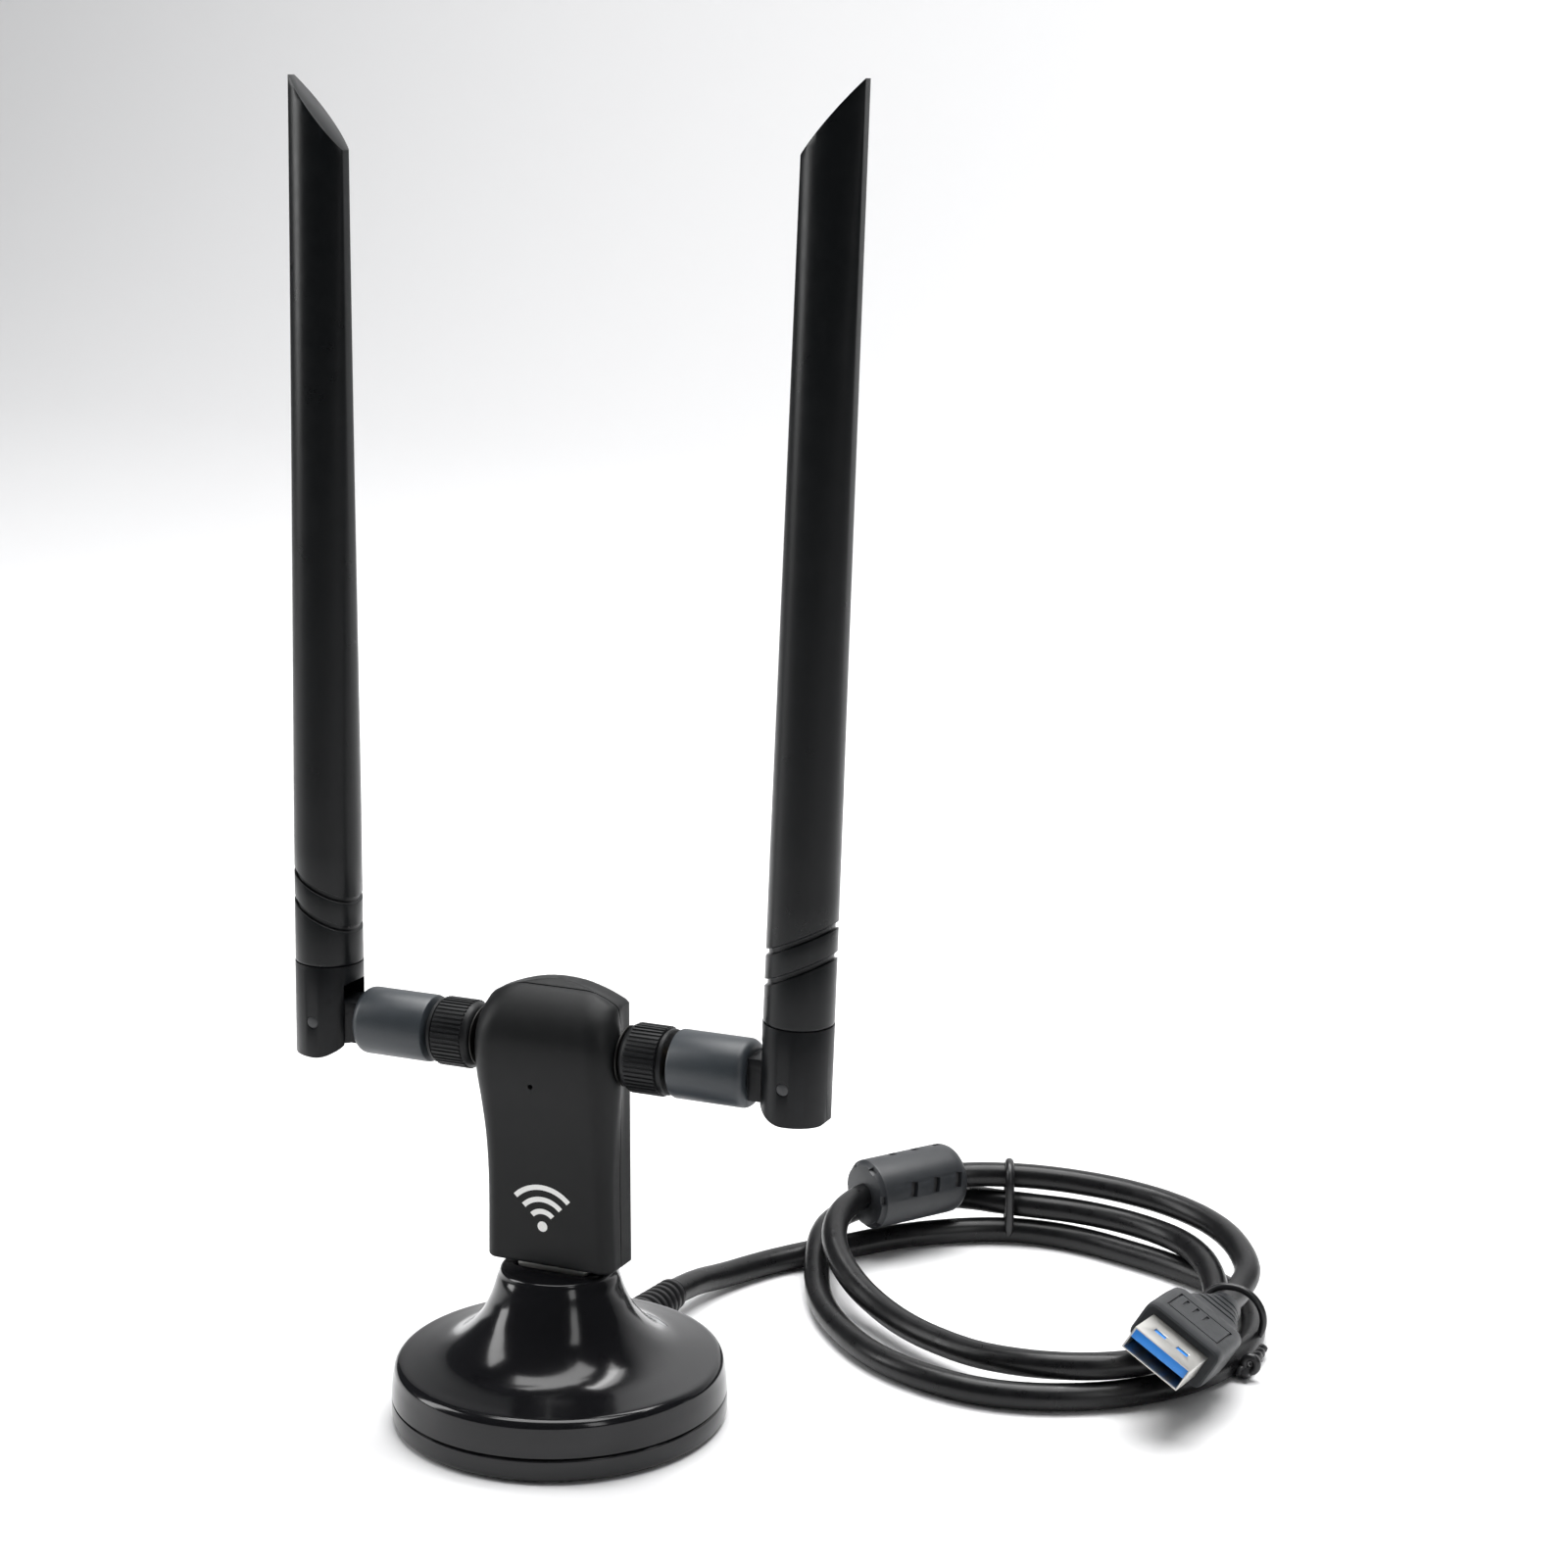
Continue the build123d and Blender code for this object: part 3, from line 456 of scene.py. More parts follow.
FINISHES = {
    "gloss_black": polished_black(),
    "cradle_plastic": moulded("cradle_plastic", (0.010, 0.010, 0.011), 0.3),
    "foot_rubber": moulded("foot_rubber", (0.014, 0.014, 0.014), 0.75, 0.4, 0.03, 1.6),
    "weight_steel": metal("weight_steel", (0.5, 0.5, 0.52), 0.4, (3.0, 3.0, 1.0), 1.2, 0.02),
    "screw_steel": metal("screw_steel", (0.6, 0.6, 0.62), 0.28),
    "board_green": circuit(),
    "bright_steel": metal("bright_steel", (0.62, 0.61, 0.58), 0.3),
    "tongue_blue": moulded("tongue_blue", (0.022, 0.22, 0.68), 0.35, 0.2, 0.008, 1.2, 0.1),
    "tongue_black": moulded("tongue_black", (0.02, 0.02, 0.02), 0.45),
    "contact_gold": metal("contact_gold", (0.86, 0.6, 0.22), 0.22),
    "window_smoke": smoked_window(),
    "lamp_white": moulded("lamp_white", (0.8, 0.82, 0.74), 0.35, 0.2, 0.01, 1.05),
    "boot_rubber": moulded("boot_rubber", (0.007, 0.007, 0.0078), 0.4, 0.3, 0.015, 2.2, 0.08, 0.3),
    "cable_pvc": cable_sheath(),
    "ferrite_plastic": moulded("ferrite_plastic", (0.019, 0.021, 0.024), 0.42, 0.3, 0.02, 2.0),
    "ferrite_ceramic": moulded("ferrite_ceramic", (0.06, 0.06, 0.062), 0.6, 0.5, 0.05, 1.4),
    "tie_pvc": moulded("tie_pvc", (0.008, 0.008, 0.009), 0.3, 0.3, 0.01, 2.0),
    "plug_plastic": moulded("plug_plastic", (0.014, 0.0155, 0.0175), 0.4, 0.22, 0.014, 2.1, 0.08, 0.3),
    "adapter_plastic": moulded("adapter_plastic", (0.0062, 0.0066, 0.007), 0.42, 0.16, 0.010, 2.4, 0.06, 0.2),
    "chip_black": moulded("chip_black", (0.015, 0.015, 0.016), 0.55, 0.2, 0.02),
    # jack_metal: near-black, far darker than plated jack metal, as painted shade for the dark gap at the
    # jack's shoulder
    "jack_metal": metal("jack_metal", (0.035, 0.034, 0.033), 0.42),
    "insulator_white": moulded("insulator_white", (0.75, 0.75, 0.72), 0.5, 0.3, 0.01, 1.05),
    "nut_plastic": moulded("nut_plastic", (0.005, 0.0054, 0.006), 0.40, 0.2, 0.012, 2.2, 0.08, 0.25),
    "brass": metal("brass", (0.20, 0.15, 0.08), 0.4),
    "arm_plastic": moulded("arm_plastic", (0.024, 0.029, 0.034), 0.38, 0.25, 0.008, 1.7),
    "hinge_plastic": moulded("hinge_plastic", (0.0035, 0.0039, 0.0046), 0.30, 0.25, 0.008, 2.0, 0.08, 0.2),
    "pin_dark": moulded("pin_dark", (0.022, 0.023, 0.025), 0.35, 0.25, 0.008, 1.8),
    "radome_plastic": moulded("radome_plastic", (0.0028, 0.0034, 0.004), 0.26, 0.3, 0.007, 2.0, 0.07, 0.25),
    "element_copper": metal("element_copper", (0.72, 0.42, 0.26), 0.3),
    "coax_sheath": moulded("coax_sheath", (0.2, 0.1, 0.05), 0.4),
}
INK = white_ink()


# ==== The cable =================================================================
CABLE_RADIUS = 2.5
LEAD_ROUTE = (
    (0.0, 46.0, 5.4),
    (0.3, 54.0, 4.7),
    (2.2, 63.0, 2.9),
    (6.5, 73.0, 2.6),
    (12.6, 82.0, 2.6),
)
COIL_CENTRE = (60.5, 72.0)
COIL_START = 157.0        # degrees from +X at which the lead joins the coil
# degrees wound since then, distance from the coil's centre, height of the cable's middle
COIL_TURNS = (
    (0, 45.0, 2.6), (23, 42.6, 2.6), (47, 41.6, 2.6), (65, 39.6, 2.6), (83, 37.9, 2.6),
    (101, 39.2, 2.6), (118, 42.2, 2.6), (137, 43.8, 2.6), (157, 44.4, 2.6), (181, 43.2, 2.6),
    (213, 40.8, 2.6), (235, 39.3, 2.6), (259, 36.8, 2.6), (290, 35.4, 2.6), (309, 36.5, 2.6),
    (327, 39.4, 3.0),
    (339, 42.6, 5.0), (351, 46.8, 7.4), (363, 50.6, 7.3), (375, 52.0, 7.2), (386, 51.8, 7.2),
    (396, 47.6, 7.5), (406, 42.8, 7.8), (424, 41.4, 7.7), (441, 40.6, 7.7), (460, 40.4, 7.6),
    (476, 38.9, 7.4), (489, 37.9, 6.0), (502, 37.2, 3.8), (518, 36.8, 3.2), (535, 37.0, 4.4),
    (549, 38.8, 6.3), (562, 40.6, 7.6),
    (577, 37.4, 7.2), (590, 33.0, 6.2), (603, 29.6, 5.4), (618, 26.9, 5.0), (640, 26.0, 5.0),
    (661, 27.4, 5.4), (679, 31.9, 7.2), (692, 36.6, 9.4), (702, 40.0, 11.4), (712, 42.4, 12.8),
    (722, 43.6, 13.2), (750, 45.8, 13.2), (761, 45.0, 13.3), (783, 43.7, 13.1), (797, 43.4, 13.0),
    (812, 44.0, 12.6), (829, 44.5, 12.0), (842, 44.2, 11.0), (852, 43.8, 9.8),
)
COIL_STEP = 9.0
PLUG_APPROACH = ((99.9, 84.5, 8.5), (99.7, 78.5, 8.0), (99.7, 71.5, 8.8))


def coil_points():
    """Points round the coil, many to each turn."""
    steps = round(COIL_TURNS[-1][0] / COIL_STEP)
    points = []
    for step in range(steps + 1):
        wound = COIL_TURNS[-1][0] * step / steps
        radius, height = flow(COIL_TURNS, wound)
        turn = math.radians(COIL_START - wound)
        points.append((COIL_CENTRE[0] + radius * math.cos(turn),
                       COIL_CENTRE[1] + radius * math.sin(turn), height))
    return points


def make_cord():
    points = list(LEAD_ROUTE) + coil_points() + list(PLUG_APPROACH)
    curve = bpy.data.curves.new("cord", "CURVE")
    curve.dimensions = "3D"
    curve.bevel_depth = CABLE_RADIUS * MM
    curve.bevel_resolution = 8
    curve.resolution_u = 4
    curve.use_fill_caps = True
    spline = curve.splines.new("NURBS")
    spline.points.add(len(points) - 1)
    for knot, point in zip(spline.points, points):
        knot.co = (point[0] * MM, point[1] * MM, point[2] * MM, 1.0)
    spline.order_u = 3
    spline.use_endpoint_u = True
    piece = bpy.data.objects.new("cord", curve)
    scene.collection.objects.link(piece)
    return wear(piece, "cradle", "cable_pvc", FINISHES["cable_pvc"], "cord_lead", "cord_coil")


cord = make_cord()


# ==== Cradle ====================================================================
SEAM = 4.6                # height at which the cover meets the base plate
CABLE_HEIGHT = 5.4        # height of the cable's middle where it leaves the cradle
NECK_TOP = 28.0
# height, radius of the cover's outside
COVER_FLARE = (
    (11.30, 27.4), (11.75, 25.2), (12.85, 20.8), (14.9, 17.4), (18.7, 13.9), (22.3, 12.05),
    (24.2, 11.35), (26.1, 10.75), (27.2, 10.25),
)


def cover_outline():
    outline = [(0.0, SEAM + 0.1), (29.35, SEAM + 0.1), (29.58, SEAM + 0.3)]
    outline += [(29.5, 6.5), (29.3, 8.3), (29.05, 9.5)]
    for step in range(1, 9):
        turn = math.pi / 2 * step / 9
        outline.append((27.35 + 1.7 * math.cos(turn), 9.55 + 1.72 * math.sin(turn)))
    low, high = COVER_FLARE[0][0], COVER_FLARE[-1][0]
    for step in range(41):
        height = low + (high - low) * (step / 40) ** 1.35
        outline.append((flow(COVER_FLARE, height)[0], height))
    for step in range(1, 7):
        turn = math.pi / 2 * step / 6
        outline.append((9.5 + 0.75 * math.cos(turn), 27.25 + 0.75 * math.sin(turn)))
    return outline + [(0.0, NECK_TOP)]


def window_cutter(name, grow, bottom, top):
    """Upright oval prism where the indicator window lies on the cover."""
    mesh = skin([level_ring(rounded(1.8 + grow, 6.5 + grow, (1.8 + grow) / 2), height)
                 for height in (bottom, top)], 40)
    turn = Matrix.Rotation(math.radians(54), 4, "Z") @ Matrix.Translation((19.4, 0, 0))
    return shape(name, mesh, turn)


def cable_outlet():
    """Rod that cuts the cable's way out of the cradle's back."""
    along = Matrix.Rotation(math.pi / 2, 4, "X")
    return shape("outlet", rod_mesh(3.35, 12, 48), Matrix.Translation((0, 29, CABLE_HEIGHT)) @ along)


def make_cradle():
    cover = shape("cradle_cover_gloss", lathe(cover_outline(), 160), sharp=28)
    recess = shape("recess", skin([level_ring(rounded(14.6, 7.2, 0.9), h) for h in (26.9, 40)], 64))
    shaft = shape("shaft", skin([level_ring(rounded(13.04, 5.54, 0.5), h) for h in (12.0, 40)], 64))
    window_hole = window_cutter("window_hole", 0.0, 10.2, 40)
    carve(cover, [recess, shaft, window_hole, cable_outlet()], sharp=28)
    wear(cover, "cradle", "gloss_black", FINISHES["gloss_black"], "cradle_cover")

    plate = [(0.0, 0.5), (21.9, 0.5), (22.0, 1.1), (26.0, 1.1), (26.1, 0.5), (28.7, 0.5)]
    for step in range(1, 6):
        turn = math.pi / 2 * step / 5
        plate.append((28.7 + 0.88 * math.sin(turn), 1.38 - 0.88 * math.cos(turn)))
    plate += [(29.6, 4.2), (29.52, 4.38), (29.35, SEAM - 0.1), (0.0, SEAM - 0.1)]
    base = shape("cradle_base_plate", lathe(plate, 160), sharp=28)
    screw_wells = []
    for degrees in (30, 150, 270):
        turn = Matrix.Rotation(math.radians(degrees), 4, "Z")
        screw_wells.append(shape("well", rod_mesh(2.35, 3.4, 32), turn @ Matrix.Translation((23.2, 0, 0))))
    carve(base, screw_wells + [cable_outlet()], sharp=28)
    wear(base, "cradle", "gloss_black", FINISHES["gloss_black"], "cradle_base")

    pane = window_cutter("indicator_pane", -0.12, 10.6, 40)
    envelope = shape("envelope", lathe([(r - 0.02, z - 0.02) if r else (r, z - 0.02)
                                        for r, z in cover_outline()], 160))
    carve(pane, [envelope], "INTERSECT")
    soften(pane, 0.12)
    wear(pane, "cradle", "window_smoke", FINISHES["window_smoke"], "indicator_window")

    foot = shape("foot_ring", tube([(22.05, 0.0), (25.95, 0.0), (26.0, 0.05), (26.0, 1.1), (22.0, 1.1),
                                    (22.0, 0.05)], 128))
    wear(foot, "cradle", "foot_rubber", FINISHES["foot_rubber"], "cradle_foot")


def make_boot():
    """Ribbed strain relief, thick at the cradle and thin at its tip."""
    start, length, ribs = 29.6, 16.4, 8
    outline = [(0.0, 25.6), (4.2, 25.6), (4.2, 27.3), (3.3, 27.3), (3.3, start)]
    pitch = length / ribs
    for ring in range(ribs):
        radius = 4.25 - 1.15 * (ring / (ribs - 1)) ** 0.9
        foot = start + ring * pitch
        core = radius - 0.7
        outline += [(core, foot + 0.08 * pitch), (radius - 0.18, foot + 0.14 * pitch),
                    (radius, foot + 0.24 * pitch), (radius, foot + 0.58 * pitch),
                    (radius - 0.18, foot + 0.68 * pitch), (core, foot + 0.74 * pitch)]
    outline += [(2.75, start + length), (0.0, start + length)]
    place = Matrix.Translation((0, 0, CABLE_HEIGHT)) @ Matrix.Rotation(-math.pi / 2, 4, "X")
    boot = shape("boot_ribbed", lathe(outline, 64), place, 40)
    return wear(boot, "cradle", "boot_rubber", FINISHES["boot_rubber"], "cable_boot")


make_cradle()
boot = make_boot()


# ==== Ferrite, ties and plug on the cable =======================================
FERRITE_MIDDLE = (27.0, 99.5, 13.2)
FERRITE_TURN = 56.5       # degrees from +X to its length
BACK_TIE_AT = (44.2, 111.6)
FRONT_TIE_AT = (100.9, 75.5)


def make_ferrite():
    radius, half = 7.0, 11.0
    outline = [(0.0, -half), (5.6, -half), (6.2, -half + 0.2), (6.6, -half + 0.9), (6.95, -half + 1.1),
               (radius, -half + 1.5), (radius, half - 3.2)]
    for step in range(1, 8):
        turn = math.pi / 2 * step / 8
        outline.append((radius - 3.0 + 3.0 * math.cos(turn), half - 3.0 + 3.0 * math.sin(turn)))
    outline += [(3.6, half), (0.0, half)]
    lie = Matrix.Translation(FERRITE_MIDDLE) @ Matrix.Rotation(math.radians(FERRITE_TURN), 4, "Z")
    lie = lie @ Matrix.Rotation(math.pi / 2, 4, "Y")
    case = shape("ferrite_case", lathe(outline, 96), lie)
    cutters = []
    for row in range(4):
        for axial in (-3.2, 2.2, 7.6):
            spot = Matrix.Rotation(math.radians(-105 + 90 * row), 4, "Z")
            spot = spot @ Matrix.Translation((radius, 0, axial))
            lean = Matrix.Rotation(math.radians(-14), 4, "X")
            cutters.append(shape("vent", box_mesh((5.0, 2.9, 1.5)), lie @ spot @ lean))
    for notch in range(6):
        spot = Matrix.Rotation(TAU * (notch + 0.4) / 6, 4, "Z") @ Matrix.Translation((6.6, 0, -half))
        cutters.append(shape("notch", box_mesh((1.6, 1.7, 2.0)), lie @ spot))
    carve(case, cutters)
    soften(case, 0.12, 2, 45)
    return wear(case, "cradle", "ferrite_plastic", FINISHES["ferrite_plastic"], "ferrite_cover")


def wire(name, points, radius, cyclic=False):
    """A round wire through points in millimetres, as a mesh."""
    curve = bpy.data.curves.new(name, "CURVE")
    curve.dimensions = "3D"
    curve.bevel_depth = radius * MM
    curve.bevel_resolution = 5
    curve.resolution_u = 6
    curve.use_fill_caps = not cyclic
    spline = curve.splines.new("NURBS")
    spline.points.add(len(points) - 1)
    for knot, point in zip(spline.points, points):
        knot.co = (point[0] * MM, point[1] * MM, point[2] * MM, 1.0)
    spline.order_u = 3
    spline.use_cyclic_u = cyclic
    spline.use_endpoint_u = not cyclic
    holder = bpy.data.objects.new(name, curve)
    scene.collection.objects.link(holder)
    bpy.context.view_layer.update()
    data = bpy.data.meshes.new_from_object(holder.evaluated_get(bpy.context.evaluated_depsgraph_get()))
    bpy.data.objects.remove(holder)
    for face in data.polygons:
        face.use_smooth = True
    piece = bpy.data.objects.new(name, data)
    scene.collection.objects.link(piece)
    return piece


def loop_points(middle, along, width, bottom, top, count=20):
    """Points of a loop that stands round a stack of turns; along is their direction in degrees."""
    turn = math.radians(along)
    across = Vector((-math.sin(turn), math.cos(turn), 0))
    half, rise = width / 2, (top - bottom) / 2
    points = []
    for step in range(count):
        angle = TAU * step / count
        x, z = rounded(2 * half, 2 * rise, half)(angle)
        points.append(Vector((middle[0], middle[1], bottom + rise + z)) + across * x)
    return points


def make_ties():
    back = wire("tie_back_loop", loop_points(BACK_TIE_AT, 22, 8.0, 0.95, 16.6), 0.9, True)
    wear(back, "cradle", "tie_pvc", FINISHES["tie_pvc"], "coil_tie_back")
    points = loop_points(FRONT_TIE_AT, 90, 12.4, 0.75, 12.6, 24)
    ring = wire("tie_front_loop", points, 0.7, True)
    strands = []
    for phase in (0.0, math.pi):
        twist = []
        for step in range(26):
            along = step / 25
            angle = phase + TAU * 3.6 * along
            twist.append((106.9 + 0.7 * math.cos(angle), 74.8 - 12.6 * along,
                          1.6 + 0.7 * math.sin(angle)))
        strands.append(wire("twist", twist, 0.75))
    curl = [(108.0 + 1.2 * math.sin(t), 63.6, 3.2 - 1.4 * math.cos(t)) for t in
            [TAU * step / 12 for step in range(12)]]
    strands.append(wire("curl", curl, 0.8, True))
    mesh = bmesh.new()
    mesh.from_mesh(ring.data)
    for strand in strands:
        mesh.from_mesh(strand.data)
        bpy.data.objects.remove(strand)
    mesh.to_mesh(ring.data)
    mesh.free()
    wear(ring, "cradle", "tie_pvc", FINISHES["tie_pvc"], "coil_tie_front")
    return back, ring


PLUG_MOUTH = (99.7, 30.9, 15.7)
PLUG_PITCH = 9.7
PLUG_ROLL = 30.7


def plug_place():
    """Local Z runs out of the plug's mouth, X across it and Y out of its upper face."""
    pitch, roll = math.radians(PLUG_PITCH), math.radians(PLUG_ROLL)
    outward = Vector((0, -math.cos(pitch), math.sin(pitch)))
    across = Vector((math.cos(roll), -math.sin(pitch) * math.sin(roll),
                     -math.cos(pitch) * math.sin(roll)))
    upper = outward.cross(across)
    turn = Matrix((across, upper, outward)).transposed().to_4x4()
    return Matrix.Translation(PLUG_MOUTH) @ turn


def make_plug():
    place = plug_place()
    # distance back from the mouth, width, depth, corner radius
    sections = (
        (11.0, 14.9, 6.9, 1.2), (11.25, 15.6, 7.6, 1.5), (11.8, 16.0, 8.0, 1.7), (13.5, 16.1, 8.1, 1.7),
        (22.0, 16.1, 8.1, 1.7), (26.6, 15.7, 8.0, 1.7), (27.6, 15.0, 7.8, 1.7), (28.6, 12.6, 7.4, 1.7),
        (29.2, 11.6, 7.2, 1.8), (31.6, 11.0, 7.1, 2.0), (31.7, 9.9, 6.2, 2.0), (32.4, 9.9, 6.2, 2.0),
        (32.5, 10.6, 7.0, 2.2), (34.2, 10.2, 6.9, 2.4), (34.3, 9.0, 6.1, 2.4), (35.0, 9.0, 6.1, 2.4),
        (35.1, 9.8, 6.8, 2.6), (36.8, 9.3, 6.7, 2.8), (36.9, 8.2, 6.0, 2.8), (37.6, 8.2, 6.0, 2.8),
        (37.7, 8.9, 6.6, 3.0), (39.4, 8.3, 6.5, 3.1), (39.5, 7.2, 5.8, 2.9), (40.2, 7.2, 5.8, 2.9),
        (40.3, 7.9, 6.4, 3.2), (43.4, 7.1, 6.4, 3.2), (44.0, 6.4, 6.0, 3.0),
    )
    rings = [level_ring(rounded(width, depth, corner), -back) for back, width, depth, corner in sections]
    body = shape("plug_grip", skin(rings, 96), place, 32)
    pocket = shape("pocket", box_mesh((12.06, 4.56, 12.0), (0, 0, -11.0)), place)
    outer = shape("panel", box_mesh((11.4, 0.7, 9.4), (0, 4.05, -19.6)), place)
    carve(outer, [shape("panel_core", box_mesh((10.6, 3.0, 8.6), (0, 4.05, -19.6)), place)])
    cutters = [pocket, outer]
    for x in (-1.7, 0.0, 1.7):
        cutters.append(shape("rib", box_mesh((0.6, 0.5, 3.4), (x * 1.3 - 1.5, 4.05, -21.6)), place))
    carve(body, cutters, sharp=32)
    wear(body, "cradle", "plug_plastic", FINISHES["plug_plastic"], "plug_body")
    shell = merged_copy("plug_shell_steel", "plug_shell", 0.12)
    wear(shell, "cradle", "bright_steel", FINISHES["bright_steel"], "plug_shell")
    tongue = merged_copy("plug_tongue_blue", "plug_tongue", 0.12)
    wear(tongue, "cradle", "tongue_blue", FINISHES["tongue_blue"], "plug_tongue")
    return body, shell, tongue


ferrite = make_ferrite()
tie_back, tie_front = make_ties()
plug_body, plug_shell, plug_tongue = make_plug()


# ==== Adapter ===================================================================
ARM_HEIGHT = 68.0         # height of the jacks, arms and hinge pins
BODY_BOTTOM = 29.2
BODY_HEIGHT = 50.2
BODY_MIDDLE = 2.2         # y about which the casing's rings are drawn
# the rounded front: height, half width, depth to the front, corner radius
FRONT_SECTIONS = (
    (0.0, 12.1, 4.3, 2.2), (0.3, 12.28, 4.48, 2.35), (1.0, 12.3, 4.5, 2.4), (14.0, 12.1, 4.7, 2.6),
    (22.0, 12.4, 5.1, 3.0), (28.5, 13.0, 5.9, 3.6), (34.0, 13.6, 6.8, 4.2), (38.5, 13.8, 7.2, 4.6),
    (42.0, 13.6, 6.9, 4.8), (45.0, 12.9, 5.6, 4.6), (47.2, 11.9, 3.6, 4.0), (48.7, 10.7, 1.4, 3.0),
    (49.6, 9.2, -0.6, 1.6), (50.2, 7.0, -1.9, 0.3),
)
BACK_HALF = 12.2
BACK_DEPTH = 4.9
BACK_ARCH = 3.1
PARTING_Y = 0.1
PARTING_GAP = 0.25


def body_ring(height):
    """A level ring of the casing: a rounded front that blends into a flat, narrower back."""
    half, front, corner = flow(FRONT_SECTIONS, height)
    left = BODY_HEIGHT - height
    back_half = BACK_HALF * math.sqrt(min(max(left, 0.03) / BACK_ARCH, 1.0))
    edge = 0.55 - min(left, 0.55)
    back = BACK_DEPTH - 0.55 + math.sqrt(max(0.55 ** 2 - edge ** 2, 0.0))
    front_outline = rounded(2 * half, 2 * (front + BODY_MIDDLE), corner)
    back_outline = rounded(2 * back_half, 2 * (back - BODY_MIDDLE), 1.0)

    def point(turn):
        behind = math.sin(turn) > 0
        x, y = (back_outline if behind else front_outline)(turn)
        y += BODY_MIDDLE
        share = min(max((y + 2.5) / (BODY_MIDDLE + 2.5), 0.0), 1.0)
        share = share * share * (3 - 2 * share)
        side = half + (back_half - half) * share
        return Vector((x * side / (back_half if behind else half), y, BODY_BOTTOM + height))
    return point


def casing_mesh():
    count = 72
    steps = [0.5 - 0.5 * math.cos(math.pi * step / count) for step in range(count + 1)]
    return skin([body_ring(BODY_HEIGHT * step) for step in steps], 256)


def make_casing():
    """Front and rear shells that meet at a fine groove along the sides."""
    halves = []
    low, high = PARTING_Y - PARTING_GAP / 2, PARTING_Y + PARTING_GAP / 2
    for name, cut_from, cut_to in (("front", low, 40.0), ("rear", -40.0, high)):
        half = shape(f"casing_{name}", casing_mesh(), sharp=40)
        cutters = [shape("other_half", box_mesh((60, cut_to - cut_from, 120),
                                                (0, (cut_from + cut_to) / 2, 60)))]
        hollow = ((36.0, 10.6, 3.0, 3.2, 1.5), (60.0, 10.6, 4.4, 3.3, 1.5), (73.5, 10.0, 4.6, 3.3, 1.5))
        rings = [level_ring(rounded(2 * half_width, front + back, corner), height, (0, (back - front) / 2))
                 for height, half_width, front, back, corner in hollow]
        cutters.append(shape("hollow", skin(rings, 64)))
        cutters.append(shape("plug_way", box_mesh((12.06, 4.56, 10.0), (0, 0, 32.0))))
        across = Matrix.Translation((0, 0, ARM_HEIGHT)) @ Matrix.Rotation(math.pi / 2, 4, "Y")
        cutters.append(shape("jack_way", rod_mesh(3.25, 60, 48), across))
        if name == "front":
            spot = Matrix.Translation((-1.5, -7.0, 62.3)) @ Matrix.Rotation(math.pi / 2, 4, "X")
            cutters.append(shape("pinhole", rod_mesh(0.5, 8.0, 24), spot))
        carve(half, cutters, sharp=40)
        soften(half, 0.14, 2, 50)
        wear(half, "adapter", "adapter_plastic", FINISHES["adapter_plastic"], f"adapter_{name}_shell")
        halves.append(half)
    return halves


def print_mark(surface):
    """A small generic wireless sign printed on the front: a dot under three arcs."""
    tree = BVHTree.FromObject(surface, bpy.context.evaluated_depsgraph_get())
    mesh = bmesh.new()
    middle = Vector((-0.6, 0, 36.4))

    def arc(inner, outer, spread, steps):
        band = bmesh.new()
        low = math.radians(90 - spread)
        ends = []
        for share in (0.0, 0.34, 0.67, 1.0):
            radius = inner + (outer - inner) * share
            ends.append(band.verts.new((radius * math.cos(low), 0, radius * math.sin(low))))
        sides = [band.edges.new(pair) for pair in zip(ends, ends[1:])]
        bmesh.ops.spin(band, geom=ends + sides, axis=(0, -1, 0), cent=(0, 0, 0), steps=steps,
                       angle=math.radians(2 * spread))
        holder = bpy.data.meshes.new("arc")
        band.to_mesh(holder)
        band.free()
        mesh.from_mesh(holder)
        bpy.data.meshes.remove(holder)

    arc(0.02, 0.95, 179.9, 40)
    arc(2.3, 3.25, 46, 28)
    arc(4.5, 5.45, 46, 40)
    arc(6.7, 7.65, 46, 52)
    bmesh.ops.translate(mesh, vec=middle, verts=mesh.verts)
    for vert in mesh.verts:
        hit = tree.ray_cast(Vector((vert.co.x, -30, vert.co.z)) * MM, Vector((0, 1, 0)))
        vert.co.y = hit[0].y / MM - 0.03
    mark = shape("front_mark", mesh)
    for face in mark.data.polygons:
        if face.normal.y > 0:
            face.flip()
    return wear(mark, "adapter", "adapter_plastic", INK)


print_mark(make_casing()[0])


# ==== Antennas ==================================================================
HINGE_X = 45.3
LEANS = {"right": 2.1, "left": -1.05}
# along the antenna from a groove's middle, depth
GROOVE = ((-0.62, 0.0), (-0.55, 0.12), (-0.42, 0.5), (0.42, 0.5), (0.55, 0.12), (0.62, 0.0))
NUT_RIBS = 44


def side_turn(side):
    return Matrix.Rotation(0.0 if side == "right" else math.pi, 4, "Z")


def along_arm(side):
    """Local Z runs outwards along an arm from the adapter's middle."""
    return side_turn(side) @ Matrix.Translation((0, 0, ARM_HEIGHT)) @ Matrix.Rotation(math.pi / 2, 4, "Y")


def at_hinge(side):
    """Local origin at the hinge pin, Z along the leaning antenna."""
    lean = Matrix.Rotation(math.radians(LEANS[side]), 4, "Y")
    return side_turn(side) @ Matrix.Translation((HINGE_X, 0, ARM_HEIGHT)) @ lean


def rib(turn):
    """Depth of the knurl's valleys round a nut."""
    share = (turn / TAU * NUT_RIBS) % 1.0
    return 0.0 if share < 0.5 else 0.24


